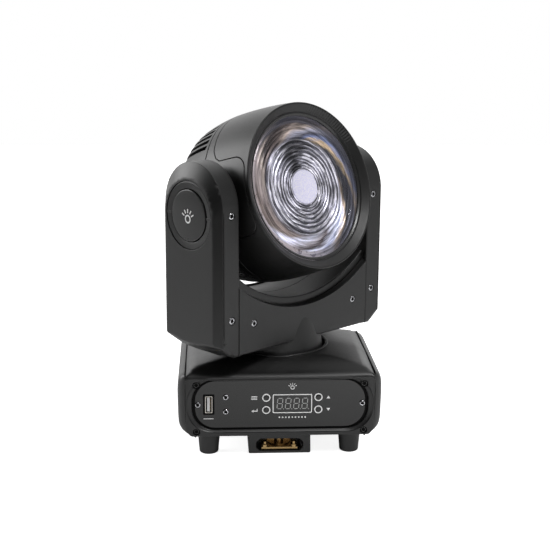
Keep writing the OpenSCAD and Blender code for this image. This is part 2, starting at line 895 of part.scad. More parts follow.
module front_shell() {
    seat_y = lens_front_y + 3.2;
    revolve_y(concat(
        front_line, reversed(shifted(front_line, -wall, 0)), [[62.6, seat_y + 2]],
        [[54.5, seat_y + 2], [54.5, seat_y], [lens_r + 0.2, seat_y]],
        [[lens_r + 0.2, -rim_y + 4.4]]
    ));
}

// Outer layer of the front shell where the side panels of the head frame sit
module side_panels(depth, g) {
    intersection() {
        revolve_y(concat(front_line, reversed(shifted(front_line, -depth, 0))));
        translate([-80, side_panel_y0 - g, -side_panel_h / 2 - g])
            cube([160, mid_y0 - side_panel_y0 + g + 1, side_panel_h + 2 * g]);
    }
}

module front_housing() {
    color("#3a3a3c") in_head() difference() {
        front_shell();
        translate([0, -gap, 0]) side_panels(wall + 0.1, gap);
        side_panels(wall + 0.1, gap);
        translate([-80, mid_y0 - gap, -80]) cube([160, 10, 160]);
        for (a = [30:2.2:74]) rotate([0, -a, 0])
            translate([58, -rim_y - 0.6, -0.35]) cube([9, 1.4, 0.7]);
    }
}

module lens_ring() {
    color("#202020") in_head() revolve_y([
        [lens_r, lens_front_y - 1.2], [lens_r, lens_front_y - gap],
        [lens_r - 2.4, lens_front_y - gap], [lens_r - 1.4, lens_front_y - 1.2]
    ]);
}

module lens() {
    color("lightblue") in_head() revolve_y([
        [0, lens_front_y + 3], [lens_r, lens_front_y + 3], [lens_r, lens_front_y],
        [44, lens_front_y], [30, lens_front_y - 0.6], [14.5, lens_front_y - 1], [0, lens_front_y - 1.4]
    ]);
}

module head_frame() {
    color("#333335") in_head() difference() {
        union() {
            revolve_y([[68, mid_y0], [68, mid_y1 - gap], [61, mid_y1 - gap], [61, mid_y0]]);
            side_panels(wall, 0);
            on_sides() pin_x(12, 56, 8);
            on_sides() translate([54, -14, -16]) cube([5, mid_y1 - gap + 14, 32]);
            on_sides() translate([58.5, -13, -5]) cube([7, 26, 10]);
        }
        on_sides() pin_x(trunnion_r + 0.02, 50, 30);
    }
}

module rear_housing() {
    inner = shifted(rear_line, -wall, -wall * 0.6);
    color("#303032") in_head() difference() {
        revolve_y(concat(
            [[0, back_y]], reversed(rear_line), [[67.7 - wall, mid_y1]],
            [for (i = [1:len(inner) - 1]) inner[i]], [[0, back_y - wall]]
        ));
        for (s = [0, 180], i = [0:slot_count - 1])
            rotate([0, s - 90 + (i - (slot_count - 1) / 2) * slot_step, 0])
                translate([50, mid_y1 + 4, -slot_w / 2]) cube([25, 30, slot_w]);
        intersection() {
            pin_y(27, back_y - 5, 10);
            for (i = [-4:4]) translate([i * 6 - 1.7, back_y - 5, -30]) cube([3.4, 10, 60]);
        }
        fan_screw_places() pin_y(shank_r + fit, back_y - 6, 8);
    }
}

module fan_screw_places() {
    for (x = [-fan_screw, fan_screw], z = [-fan_screw, fan_screw]) translate([x, 0, z]) children();
}

// Left trunnion with the toothed wheel that the tilt belt turns
module tilt_pulley() {
    end_x = tilt_pulley_x + tilt_pulley_w + flange_t;
    color("goldenrod") in_head() union() {
        pin_x(trunnion_r, -end_x, end_x - 56);
        translate([-tilt_pulley_x, 0, 0]) rotate([0, -90, 0])
            pulley(tilt_teeth, tilt_pulley_w, trunnion_r - 1);
        pin_x(10, -69.6, 1.5);
    }
}

module tilt_trunnion() {
    color("silver") in_head() difference() {
        union() {
            pin_x(trunnion_r, 56, 25);
            pin_x(10, 68.1, 1.5);
        }
        pin_x(4.5, 50, 40);
    }
}

module reflector() {
    y0 = -9;
    y1 = lens_front_y + 5.4;
    bowl = [for (t = [0:0.1:1]) [14 + 39.5 * pow(t, 0.72), y0 + (y1 - y0) * t]];
    color("gainsboro") in_head() revolve_y(concat(bowl, reversed(shifted(bowl, -0.8, -0.9))));
}

module led_module() {
    color("khaki") in_head() union() {
        pin_y(28, -7, 1.9);
        pin_y(12, -8.4, 2);
    }
}

module heat_sink() {
    color("lightgray") in_head() union() {
        pin_y(40, -5, 6);
        intersection() {
            pin_y(46, 0, 34);
            for (i = [-7:7]) translate([i * fin_pitch - 0.8, 0, -50]) cube([1.6, 34, 100]);
        }
    }
}

module fan_frame() {
    color("#1a1a1a") in_head() difference() {
        union() {
            difference() {
                along_y(fan_y, fan_t) round_rect(fan_w, fan_w, 3);
                pin_y(28, fan_y - 1, fan_t + 2);
            }
            for (a = [45:90:315]) rotate([0, a, 0])
                translate([0, fan_y, -1.5]) cube([29, 1.8, 3]);
            pin_y(12, fan_y, 2);
            pin_y(shank_r, fan_y, 12);
        }
        fan_screw_places() pin_y(2.15, fan_y - 1, fan_t + 2);
    }
}

module fan_rotor() {
    y = fan_y + 3;
    color("#262626") in_head() difference() {
        union() {
            pin_y(12, y, 10.5);
            intersection() {
                pin_y(27, y - 0.5, 11);
                for (a = [0:360 / 7:359]) rotate([0, a, 0]) translate([0, y + 5, 0])
                    rotate([35, 0, 0]) translate([10, -0.8, -9]) cube([20, 1.6, 18]);
            }
        }
        pin_y(shank_r + fit, y - 1, 10);
    }
}

module head_screws() {
    color("#303030") in_head() fan_screw_places() mirror([0, 1, 0])
        screw_y(0, -back_y, 0, 18, 2.7, 1.4);
}

base_plate();
base_top_cover();
base_side_left();
base_side_right();
front_bezel();
control_panel();
display_module();
control_board();
usb_socket();
rear_panel();
power_inlet();
data_sockets();
power_supply();
pan_motor();
pan_belt();
pan_bearing_plate();
pan_bearing();
rubber_feet();
rigging_bracket();
bracket_plates();
bezel_screws();
panel_screws();
rear_screws();
button_upper_left();
button_lower_left();
button_upper_right();
button_lower_right();
quick_lock_front();
quick_lock_rear();
pan_motor_pulley();
pan_shaft();
pan_pulley();
yoke_frame();
arm_shell_left();
arm_shell_right();
arm_cover_left();
arm_cover_right();
centre_cover_front();
centre_cover_rear();
saddle_cover();
arm_caps();
tilt_motor();
tilt_belt();
tilt_bearings();
yoke_screws();
tilt_motor_pulley();
front_housing();
lens_ring();
lens();
head_frame();
rear_housing();
tilt_pulley();
tilt_trunnion();
reflector();
led_module();
heat_sink();
fan_frame();
head_screws();
fan_rotor();
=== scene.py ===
import json
import math

import bpy
import numpy as np
from mathutils import Matrix, Vector, geometry


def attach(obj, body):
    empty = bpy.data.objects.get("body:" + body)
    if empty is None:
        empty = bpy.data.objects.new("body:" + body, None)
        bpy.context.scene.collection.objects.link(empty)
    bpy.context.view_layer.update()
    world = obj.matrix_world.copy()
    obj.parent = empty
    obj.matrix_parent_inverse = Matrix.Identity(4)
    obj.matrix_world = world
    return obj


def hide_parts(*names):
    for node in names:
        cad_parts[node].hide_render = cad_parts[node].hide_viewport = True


# Looks of a moving head wash light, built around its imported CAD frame.
# Lengths in this script are millimetres in three local frames, all with the front at -Y and +Z up:
# the base, the yoke (turned about the pan axis) and the head (also tipped about the tilt axis).

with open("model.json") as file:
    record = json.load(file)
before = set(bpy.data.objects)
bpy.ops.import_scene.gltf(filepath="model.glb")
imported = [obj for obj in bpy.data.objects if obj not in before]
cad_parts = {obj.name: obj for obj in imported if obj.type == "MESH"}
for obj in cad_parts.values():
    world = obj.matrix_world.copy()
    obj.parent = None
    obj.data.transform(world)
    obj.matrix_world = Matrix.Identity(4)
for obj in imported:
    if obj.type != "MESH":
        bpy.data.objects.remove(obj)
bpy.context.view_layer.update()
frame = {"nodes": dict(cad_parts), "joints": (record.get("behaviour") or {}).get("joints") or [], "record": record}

MM = 0.001
WELD = 0.0005
CREASE = math.radians(32)

JOINTS = {j["name"]: j for j in frame["joints"]}
TILT_AXIS = Vector(JOINTS["tilt"]["axis"])
HEAD_BACK = Vector(JOINTS["fan_spin"]["axis"])
TILT_Z = JOINTS["tilt"]["pos_m"][2] / MM
BASE = Matrix.Identity(4)
YOKE = Matrix.Rotation(math.atan2(TILT_AXIS.y, TILT_AXIS.x), 4, "Z")
HEAD = (
    Matrix.Translation((0, 0, TILT_Z * MM))
    @ Matrix((TILT_AXIS, HEAD_BACK, TILT_AXIS.cross(HEAD_BACK))).transposed().to_4x4()
)
PLACES = {"base": BASE, "yoke": YOKE, "head": HEAD}


def span(node, place):
    """Lowest and highest corner of a CAD node in a local frame."""
    inverse = place.inverted()
    corners = np.array([inverse @ v.co for v in frame["nodes"][node].data.vertices]) / MM
    return corners.min(0), corners.max(0)


# ---------- outlines in two dimensions ----------


def soft(corners, closed=True, step=9.0):
    """Polyline through (x, y) or (x, y, radius) corners, with an arc at each corner that has a radius."""
    count = len(corners)
    out = []
    for i, corner in enumerate(corners):
        here = np.array(corner[:2], float)
        radius = corner[2] if len(corner) > 2 else 0
        if radius <= 0 or (not closed and i in (0, count - 1)):
            out.append(here)
            continue
        before = np.array(corners[i - 1][:2], float) - here
        after = np.array(corners[(i + 1) % count][:2], float) - here
        u, w = before / np.linalg.norm(before), after / np.linalg.norm(after)
        half = math.acos(max(-1, min(1, float(u @ w)))) / 2
        reach = radius / math.tan(half)
        reach = min(reach, 0.499 * np.linalg.norm(before), 0.499 * np.linalg.norm(after))
        radius = reach * math.tan(half)
        centre = here + (u + w) / np.linalg.norm(u + w) * radius / math.sin(half)
        start, end = here + u * reach - centre, here + w * reach - centre
        a0 = math.atan2(start[1], start[0])
        turn = math.atan2(end[1], end[0]) - a0
        turn = (turn + math.pi) % (2 * math.pi) - math.pi
        pieces = max(2, int(abs(math.degrees(turn)) / step))
        for k in range(pieces + 1):
            a = a0 + turn * k / pieces
            out.append(centre + radius * np.array([math.cos(a), math.sin(a)]))
    return np.array(out)


def circle(x, y, r, count=40):
    a = np.arange(count) * 2 * math.pi / count
    return np.stack([x + r * np.cos(a), y + r * np.sin(a)], 1)


def rect(x0, x1, y0, y1, r=0.0):
    return soft([(x0, y0, r), (x1, y0, r), (x1, y1, r), (x0, y1, r)])


def curve(points, count=12):
    """Smooth line through points (Catmull-Rom)."""
    p = np.array(points, float)
    p = np.vstack([2 * p[0] - p[1], p, 2 * p[-1] - p[-2]])
    out = []
    for i in range(1, len(p) - 2):
        for t in np.arange(count) / count:
            a, b, c, d = p[i - 1], p[i], p[i + 1], p[i + 2]
            bend = 2 * a - 5 * b + 4 * c - d
            out.append(0.5 * (2 * b + (c - a) * t + bend * t**2 + (3 * b - a - 3 * c + d) * t**3))
    out.append(p[-2])
    return np.array(out)


def lengths(path):
    return np.concatenate([[0], np.cumsum(np.linalg.norm(np.diff(path, axis=0), axis=1))])


def unit(vectors):
    """Vectors scaled to a length of one."""
    return vectors / np.maximum(np.linalg.norm(vectors, axis=-1, keepdims=True), 1e-12)


def resample(loop, step):
    """Closed loop with no side longer than step. Its own corners stay."""
    out = []
    for a, b in zip(loop, np.roll(loop, -1, axis=0)):
        pieces = max(1, math.ceil(np.linalg.norm(b - a) / step - 1e-6))
        out += [a + (b - a) * k / pieces for k in range(pieces)]
    return np.array(out)


def area(loop):
    x, y = loop[:, 0], loop[:, 1]
    return 0.5 * float(np.sum(x * np.roll(y, -1) - y * np.roll(x, -1)))


def inside(points, loops):
    """Even-odd test of points against closed loops."""
    hit = np.zeros(len(points), bool)
    for loop in loops:
        a, b = loop, np.roll(loop, -1, axis=0)
        rise = b[:, 1] - a[:, 1]
        rise = np.where(abs(rise) < 1e-12, 1e-12, rise)
        for k in range(0, len(points), 4000):
            x, y = points[k : k + 4000, 0:1], points[k : k + 4000, 1:2]
            crosses = (a[:, 1] > y) != (b[:, 1] > y)
            where = a[:, 0] + (y - a[:, 1]) * (b[:, 0] - a[:, 0]) / rise
            hit[k : k + 4000] ^= (crosses & (x < where)).sum(1) % 2 == 1
    return hit


def smooth_max(a, b, k):
    """Larger of two fields, blended over about k."""
    return 0.5 * (a + b + np.sqrt((a - b) ** 2 + k * k))


def smooth_min(a, b, k):
    return -smooth_max(-a, -b, k)


def fade(t):
    t = np.clip(t, 0, 1)
    return t * t * (3 - 2 * t)


# ---------- meshes ----------


class Shape:
    """Patches of a mesh with a normal at each vertex. Patches that touch are welded at the end."""

    def __init__(self):
        self.points, self.normals, self.faces, self.count = [], [], [], 0

    def patch(self, points, normals, faces):
        points, normals = np.asarray(points, float), np.asarray(normals, float)
        turn = 0.0
        for f in faces[:: max(1, len(faces) // 200)]:
            a, b, c = points[f[0]], points[f[1]], points[f[2]]
            turn += float(np.cross(b - a, c - a) @ normals[f[0]])
        if turn < 0:
            faces = [tuple(reversed(f)) for f in faces]
        self.faces += [tuple(i + self.count for i in f) for f in faces]
        self.points.append(points)
        self.normals.append(normals)
        self.count += len(points)

    def grid(self, rows, normals, closed=False):
        """Quads between rows of equal counts of points. closed joins the last point of a row to its first."""
        rows, normals = np.asarray(rows, float), np.asarray(normals, float)
        n, m = rows.shape[:2]
        across = m if closed else m - 1
        faces = [
            (i * m + j, i * m + (j + 1) % m, (i + 1) * m + (j + 1) % m, (i + 1) * m + j)
            for i in range(n - 1)
            for j in range(across)
        ]
        self.patch(rows.reshape(-1, 3), normals.reshape(-1, 3), faces)

    def mirrored(self, axis):
        """Copy of this shape, mirrored through the plane where the axis (0, 1 or 2) is zero."""
        flip = np.ones(3)
        flip[axis] = -1
        out = Shape()
        out.points = [p * flip for p in self.points]
        out.normals = [n * flip for n in self.normals]
        out.faces = [tuple(reversed(f)) for f in self.faces]
        out.count = self.count
        return out

    def moved(self, matrix):
        turn, shift = np.array(matrix.to_3x3()), np.array(matrix.translation)
        out = Shape()
        out.points = [p @ turn.T + shift for p in self.points]
        out.normals = [n @ turn.T for n in self.normals]
        out.faces, out.count = list(self.faces), self.count
        return out

    def join(self, other):
        self.faces += [tuple(i + self.count for i in f) for f in other.faces]
        self.points += other.points
        self.normals += other.normals
        self.count += other.count
        return self

    def object(self, name, body, slot=None, stands_for=(), look=None, place=None):
        """Welds the patches into one object that rides on a CAD body, in the slot's look if none is given."""
        place = PLACES[body] if place is None else place
        turn = np.array(place.to_3x3())
        points, normals = np.concatenate(self.points), np.concatenate(self.normals)
        _, first, index = np.unique(
            np.round(points / WELD).astype(np.int64), axis=0, return_index=True, return_inverse=True
        )
        index = index.ravel()
        faces, corners, seen = [], [], set()
        for f in self.faces:
            kept = [i for k, i in enumerate(f) if index[i] != index[f[k - 1]]]
            ring = tuple(int(index[i]) for i in kept)
            key = tuple(sorted(ring))
            if len(set(ring)) < 3 or len(set(ring)) < len(ring) or key in seen:
                continue
            seen.add(key)
            faces.append(ring)
            corners += kept
        mesh = bpy.data.meshes.new(name)
        world = (points[first] * MM) @ turn.T + np.array(place.translation)
        mesh.from_pydata(world.tolist(), [], faces)
        mesh.polygons.foreach_set("use_smooth", [True] * len(faces))
        mesh.normals_split_custom_set(unit(normals[corners] @ turn.T).tolist())
        mesh.materials.append(look or LOOKS[slot])
        made = bpy.data.objects.new(name, mesh)
        bpy.context.scene.collection.objects.link(made)
        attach(made, body)
        if stands_for:
            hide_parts(*stands_for)
        return made


def creased(path, closed=False):
    """Points and normals along a profile, to the left of its direction. Sharp corners appear twice."""
    p = np.array(path, float)
    sides = unit(np.diff(np.vstack([p, p[:1]]) if closed else p, axis=0))
    left = np.stack([-sides[:, 1], sides[:, 0]], 1)
    points, normals = [], []
    for i in range(len(p)):
        before = left[i - 1] if (i or closed) else left[0]
        after = left[i] if i < len(left) else left[-1]
        if math.acos(max(-1, min(1, float(before @ after)))) > CREASE:
            points += [p[i], p[i]]
            normals += [before, after]
        else:
            points.append(p[i])
            normals.append(before + after)
    if closed:
        points.append(points[0])
        normals.append(normals[0])
    return np.array(points), unit(np.array(normals))


AXES = {"x": (2, 0, 1), "y": (0, 2, 1), "z": (0, 1, 2)}


def on_axis(cos, sin, along, axis):
    """Joins the parts of a point that turn about an axis with the part along it."""
    parts = (cos, sin, along)
    return np.stack([np.broadcast_arrays(*parts)[i] for i in AXES[axis]], -1)


def revolve(shape, profile, axis="y", steps=96, a0=0.0, a1=360.0, closed=False, left=True):
    """Turns a profile of (radius, height) about an axis. left says which side of the profile is outside."""
    points, normals = creased(profile, closed)
    if not left:
        normals = -normals
    whole = abs(a1 - a0) >= 360
    count = steps if whole else steps + 1
    a = np.radians(a0 + (a1 - a0) * np.arange(count) / steps)
    rows = on_axis(points[:, 0:1] * np.cos(a), points[:, 0:1] * np.sin(a), points[:, 1:2], axis)
    turned = on_axis(normals[:, 0:1] * np.cos(a), normals[:, 0:1] * np.sin(a), normals[:, 1:2], axis)
    shape.grid(rows, turned, closed=whole)
    return shape


def tangents(surface, u, v, h=0.05):
    du = (surface(u + h, v) - surface(u - h, v)) / (2 * h)
    dv = (surface(u, v + h) - surface(u, v - h)) / (2 * h)
    return du, dv, unit(np.cross(du, dv))


def ring_normals(rows):
    """Normals of closed rows of points, from the points round them."""
    return unit(np.cross(np.roll(rows, -1, axis=1) - np.roll(rows, 1, axis=1), np.gradient(rows, axis=0)))


def inward(loop, is_open):
    """How each point of a loop moves when its outline shrinks by one into the material on its left."""
    sides = unit(np.roll(loop, -1, axis=0) - loop)
    left = np.stack([-sides[:, 1], sides[:, 0]], 1)
    moves = np.zeros_like(loop)
    for i in range(len(loop)):
        before, after = left[i - 1], left[i]
        want = np.array([0.0 if is_open[i - 1] else 1.0, 0.0 if is_open[i] else 1.0])
        if not want.any():
            continue
        if abs(before[0] * after[1] - before[1] * after[0]) < 1e-3:
            moves[i] = (before if want[0] else after) if want.sum() < 2 else (before + after) / 2
            continue
        move = np.linalg.solve(np.array([before, after]), want)
        size = np.linalg.norm(move)
        moves[i] = move if size < 2.2 else move / size * 2.2
    return moves


def skin(
    shape, surface, loops, depth, edge=0.35, spacing=3.0, side=1, open_at=None, back=True, rounds=3
):
    """Sheet of plastic on a curved surface, with rounded edges along its outline (the first loop) and holes.
    surface maps (u, v) in millimetres to points. open_at says whether a side between two points stays open.
    """
    rings = []
    for k, loop in enumerate(loops):
        loop = resample(np.asarray(loop, float), spacing * 0.75)
        if (area(loop) > 0) != (k == 0):
            loop = loop[::-1]
        after = np.roll(loop, -1, axis=0)
        is_open = [bool(open_at and open_at(a, b)) for a, b in zip(loop, after)]
        rings.append((loop, inward(loop, is_open), is_open))

    def lay(flat, offset_depth):
        u, v = flat[:, 0], flat[:, 1]
        _, _, n = tangents(surface, u, v)
        return surface(u, v) - side * n * offset_depth, side * n

    shrunk = [loop + moves * edge for loop, moves, _ in rings]
    flat = list(np.concatenate(shrunk))
    links, start = [], 0
    for loop in shrunk:
        links += [(start + i, start + (i + 1) % len(loop)) for i in range(len(loop))]
        start += len(loop)
    low, high = shrunk[0].min(0), shrunk[0].max(0)
    nx, ny = [max(1, int(round(x))) for x in (high - low) / spacing]
    gx, gy = np.meshgrid(np.linspace(low[0], high[0], nx + 1), np.linspace(low[1], high[1], ny + 1))
    grid = np.stack([gx.ravel(), gy.ravel()], 1)
    grid = grid[inside(grid, shrunk)]
    border = np.array(flat)
    for k in range(0, len(grid), 2000):
        part = grid[k : k + 2000]
        near = ((part[:, None] - border[None]) ** 2).sum(-1).min(1) if len(part) else np.zeros(0)
        flat += list(part[near > (0.42 * spacing) ** 2])
    flat = np.array(flat)
    made = geometry.delaunay_2d_cdt([Vector(p) for p in flat], links, [], 0, 1e-7)
    source = np.array([o[0] if o else -1 for o in made[3]])
    triangles = np.array([f for f in made[2] if all(source[i] >= 0 for i in f)])
    triangles = source[triangles]
    middle = flat[triangles].mean(1)
    triangles = triangles[inside(middle, shrunk)]
    top, top_normals = lay(flat, 0)
    shape.patch(top, top_normals, [tuple(int(i) for i in t) for t in triangles])
    if back:
        under, _ = lay(flat, depth)
        shape.patch(under, -top_normals, [tuple(int(i) for i in t) for t in triangles])
    for loop, moves, is_open in rings:
        u, v = loop[:, 0], loop[:, 1]
        du, dv, n = tangents(surface, u, v)
        n = side * n
        out = -(moves[:, 0:1] * du + moves[:, 1:2] * dv)
        out = unit(out - (out * n).sum(1, keepdims=True) * n)
        rows, normals = [], []
        for k in range(rounds + 1):
            a = math.pi / 2 * k / rounds
            place = loop + moves * edge * (1 - math.sin(a))
            points, _ = lay(place, edge * (1 - math.cos(a)))
            rows.append(points)
            normals.append(n * math.cos(a) + out * math.sin(a))
        rows.append(lay(loop, depth)[0])
        normals.append(out)
        rows, normals = np.array(rows), np.array(normals)
        m = len(loop)
        faces = [
            (i * m + j, i * m + (j + 1) % m, (i + 1) * m + (j + 1) % m, (i + 1) * m + j)
            for i in range(len(rows) - 1)
            for j in range(m)
            if not is_open[j]
        ]
        shape.patch(rows.reshape(-1, 3), normals.reshape(-1, 3), faces)
        if back:
            rim = np.array([rows[-1], lay(loop + moves * edge, depth)[0]])
            faces = [(j, (j + 1) % m, m + (j + 1) % m, m + j) for j in range(m) if not is_open[j]]
            shape.patch(rim.reshape(-1, 3), np.tile(-n, (2, 1)), faces)
    return shape


def plate(shape, y, loops, depth, **options):
    """Sheet that faces the front at a given y, with its loops in (x, z)."""
    return skin(shape, lambda u, v: np.stack([u, np.full_like(u, y), v], 1), loops, depth, **options)


# ---------- materials ----------


class Nodes:
    """Short way to add linked shader nodes to a new material, or to a world."""

    def __init__(self, name, world=None):
        self.owner = world or bpy.data.materials.new(name)
        self.owner.use_nodes = True
        self.tree = self.owner.node_tree
        self.tree.nodes.clear()

    def add(self, kind, **inputs):
        node = self.tree.nodes.new("ShaderNode" + kind)
        for key, value in inputs.items():
            target = key.replace("_", " ")
            if hasattr(node, key) and key not in node.inputs and target not in node.inputs:
                setattr(node, key, value)
                continue
            socket = node.inputs[int(key[2:])] if key.startswith("in") and key[2:].isdigit() else None
            socket = socket or (node.inputs[key] if key in node.inputs else node.inputs[target])
            if isinstance(value, bpy.types.NodeSocket):
                self.tree.links.new(value, socket)
            else:
                socket.default_value = value
        return node

    def math(self, operation, a, b=0.0, c=0.0):
        return self.add("Math", operation=operation, in0=a, in1=b, in2=c).outputs[0]

    def blend(self, factor, a, b, kind="MIX"):
        node = self.add("Mix", data_type="RGBA", blend_type=kind, in0=factor, in6=a, in7=b)
        return node.outputs[2]

    def step(self, value, start, end, low=0.0, high=1.0):
        """Smooth change from low to high while the value goes from start to end."""
        kind = dict(interpolation_type="SMOOTHSTEP", From_Min=start, From_Max=end, To_Min=low, To_Max=high)
        return self.add("MapRange", Value=value, **kind).outputs[0]

    def place(self):
        return self.add("TexCoord").outputs["Object"]

    def noise(self, vector, scale, detail=2.0, rough=0.5):
        made = self.add("TexNoise", Vector=vector, Scale=scale, Detail=detail, Roughness=rough)
        return made.outputs["Fac"]

    def finish(self, shader, output="OutputMaterial"):
        self.add(output, Surface=shader)
        return self.owner


def grey(value, warm=0.0):
    return (value * (1 + warm), value, value * (1 - warm), 1)


def moulded(name, colour, rough, grain=2600, depth=0.12, wear_and_sheen=0.5, coat=0.0, specular=0.5):
    """Plastic, rubber or paint: fine grain, faint mottling, and edges paler and smoother, partly as wear and
    partly as a painted edge highlight.
    """
    n = Nodes(name)
    place = n.place()
    fine = n.noise(place, grain, 3, 0.6)
    broad = n.noise(place, 38, 4, 0.55)
    scuffs = n.noise(n.add("Mapping", Vector=place, Scale=(1, 1, 0.12)).outputs[0], 420, 5, 0.7)
    # edge mask: edges go paler, partly as wear and partly as a painted edge highlight
    soft_edge = n.add("Bevel", samples=4, Radius=0.0006).outputs[0]
    normal = n.add("NewGeometry").outputs["Normal"]
    facing = n.add("VectorMath", operation="DOT_PRODUCT", in0=soft_edge, in1=normal)
    edge = n.math("MULTIPLY", n.math("SUBTRACT", 1.0, facing.outputs["Value"]), 9.0)
    worn_and_sheen = n.math("MULTIPLY", n.math("MINIMUM", edge, 1.0), wear_and_sheen)
    worn_and_sheen = n.math("MULTIPLY", worn_and_sheen, n.math("ADD", 0.35, scuffs))
    darker = tuple(c * 0.82 for c in colour[:3]) + (1,)
    paler = tuple(min(1, c * 2.0 + 0.012) for c in colour[:3]) + (1,)
    base = n.blend(broad, darker, tuple(min(1, c * 1.18) for c in colour[:3]) + (1,))
    base = n.blend(worn_and_sheen, base, paler)
    roughness = n.math("ADD", rough - 0.05, n.math("MULTIPLY", broad, 0.1))
    roughness = n.math("ADD", roughness, n.math("MULTIPLY", n.math("SUBTRACT", scuffs, 0.5), 0.12))
    roughness = n.math("SUBTRACT", roughness, n.math("MULTIPLY", worn_and_sheen, 0.12))
    bump = n.add("Bump", Strength=depth, Distance=0.00008, Height=fine).outputs[0]
    shader = n.add(
        "BsdfPrincipled", Base_Color=base, Roughness=roughness, Normal=bump, Coat_Weight=coat,
        Coat_Roughness=0.06, Specular_IOR_Level=specular,
    )
    return n.finish(shader.outputs[0])


def metal(name, colour, rough, brushed=(1, 1, 1), depth=0.08, stain=None):
    """Plated or bare metal with fine marks and slow changes of tone."""
    n = Nodes(name)
    place = n.place()
    marks = n.noise(n.add("Mapping", Vector=place, Scale=brushed).outputs[0], 1800, 3, 0.6)
    broad = n.noise(place, 90, 4, 0.6)
    darker = tuple(c * 0.6 for c in colour[:3]) + (1,)
    base = n.blend(n.math("MULTIPLY", broad, 0.55), colour, stain or darker)
    roughness = n.math("ADD", rough, n.math("MULTIPLY", n.math("SUBTRACT", marks, 0.5), 0.25))
    bump = n.add("Bump", Strength=depth, Distance=0.00005, Height=marks).outputs[0]
    shader = n.add("BsdfPrincipled", Base_Color=base, Metallic=1.0, Roughness=roughness, Normal=bump)
    return n.finish(shader.outputs[0])


def printed(name, level):
    """White pad print: thin, slightly uneven ink."""
    n = Nodes(name)
    place = n.place()
    ink = n.noise(place, 900, 3, 0.6)
    base = n.blend(ink, grey(level * 0.86), grey(level))
    bump = n.add("Bump", Strength=0.1, Distance=0.00003, Height=ink).outputs[0]
    return n.finish(n.add("BsdfPrincipled", Base_Color=base, Roughness=0.45, Normal=bump).outputs[0])


def board(name, colour, pad):
    """Circuit board or LED board: solder mask with tracks and small parts as cells."""
    n = Nodes(name)
    place = n.place()
    cells = n.add("TexVoronoi", Vector=place, Scale=330.0)
    darker = tuple(c * 0.6 for c in colour[:3]) + (1,)
    paler = tuple(min(1, c * 1.5) for c in colour[:3]) + (1,)
    tracks = n.add("TexBrick", Vector=place, Scale=160.0, Color1=colour, Color2=darker, Mortar=paler)
    near = n.math("LESS_THAN", cells.outputs["Distance"], 0.22)
    base = n.blend(near, tracks.outputs["Color"], pad)
    bump = n.add("Bump", Strength=0.3, Distance=0.0002, Height=near).outputs[0]
    return n.finish(n.add("BsdfPrincipled", Base_Color=base, Roughness=0.35, Normal=bump).outputs[0])


LOOKS = {
    "cover_plastic": moulded("satin_black_abs", grey(0.0045), 0.40, depth=0.14),
    "bezel_plastic": moulded("bezel_abs", grey(0.005), 0.40, depth=0.12),
    "cap_plastic": moulded("cap_abs", grey(0.006), 0.30, depth=0.05, coat=0.15),
    "panel_gloss": moulded("panel_acrylic", grey(0.004), 0.08, depth=0.01, wear_and_sheen=0.1),
    "display_window": moulded("smoked_window", grey(0.006, 0.06), 0.10, depth=0.02, wear_and_sheen=0.1),
    "circuit_board": board("board_green", (0.015, 0.11, 0.04, 1), (0.02, 0.02, 0.02, 1)),
    "plated_steel": metal("nickel_plate", (0.72, 0.68, 0.62, 1), 0.24),
    "frame_steel": metal("zinc_sheet", (0.55, 0.57, 0.6, 1), 0.38, (1, 1, 0.1)),
    "black_steel": moulded("powder_coat", grey(0.012), 0.38, grain=1500, depth=0.3, wear_and_sheen=0.7),
    "connector_plastic": moulded("connector_nylon", grey(0.012), 0.36, depth=0.08),
    "motor_black": moulded("motor_paint", grey(0.03), 0.42, grain=900, depth=0.2),
    "belt_rubber": moulded("belt_rubber", grey(0.012), 0.7, grain=1200, depth=0.3, specular=0.3),
    "foot_rubber": moulded("foot_rubber", grey(0.013), 0.5, grain=1600, depth=0.25, specular=0.45),
    "yellow_zinc": metal("yellow_zinc", (0.52, 0.38, 0.17, 1), 0.26, stain=(0.30, 0.14, 0.07, 1)),
    "screw_black": moulded("black_oxide", grey(0.008), 0.26, depth=0.05, wear_and_sheen=0.9),
    "screw_silver": metal("bright_zinc", (0.50, 0.50, 0.52, 1), 0.20),
    "button_plastic": moulded("button_black", grey(0.007), 0.30, depth=0.05),
    "pulley_metal": metal("turned_alloy", (0.72, 0.72, 0.70, 1), 0.3, (1, 1, 6)),
    "led_board": board("led_board", (0.78, 0.78, 0.72, 1), (0.95, 0.80, 0.30, 1)),
    "heat_sink_metal": metal("extruded_alloy", (0.30, 0.30, 0.31, 1), 0.4, (1, 0.05, 1)),
    "fan_plastic": moulded("fan_black", grey(0.01), 0.4, depth=0.08),
    "reflector_mirror": metal("metallised", (0.86, 0.86, 0.90, 1), 0.09, depth=0.02),
}
NECK_GRAIN = moulded("neck_grain", grey(0.009), 0.48, grain=1300, depth=0.75)
PRINT = printed("white_print", 0.82)
DIGITS = printed("unlit_digit", 0.36)
TONGUE = printed("usb_tongue_white", 0.55)
# near-black, almost matt: painted shade in recesses, gaps and socket floors, and the USB surround's own black
BLACK_AND_PAINTED_SHADE = moulded("recess_black", grey(0.002), 0.5, depth=0.05, wear_and_sheen=0.0, specular=0.08)


def lens_look():
    """Clear acrylic seen as a thin film: mostly what is behind it, with sharp reflections from its steps."""
    n = Nodes("clear_lens")
    place = n.place()
    waves = n.noise(place, 60, 2, 0.5)
    bump = n.add("Bump", Strength=0.05, Distance=0.0003, Height=waves).outputs[0]
    through = n.add("BsdfTransparent", Color=(0.95, 0.95, 0.98, 1))
    mirror = n.add("BsdfGlossy", Color=(0.97, 0.97, 1.0, 1), Roughness=0.05, Normal=bump)
    facing = n.add("LayerWeight", Normal=bump).outputs["Facing"]
    share = n.math("ADD", 0.02, n.math("POWER", facing, 5.0))
    mix = n.add("MixShader", in0=share, in1=through.outputs[0], in2=mirror.outputs[0])
    return n.finish(mix.outputs[0])


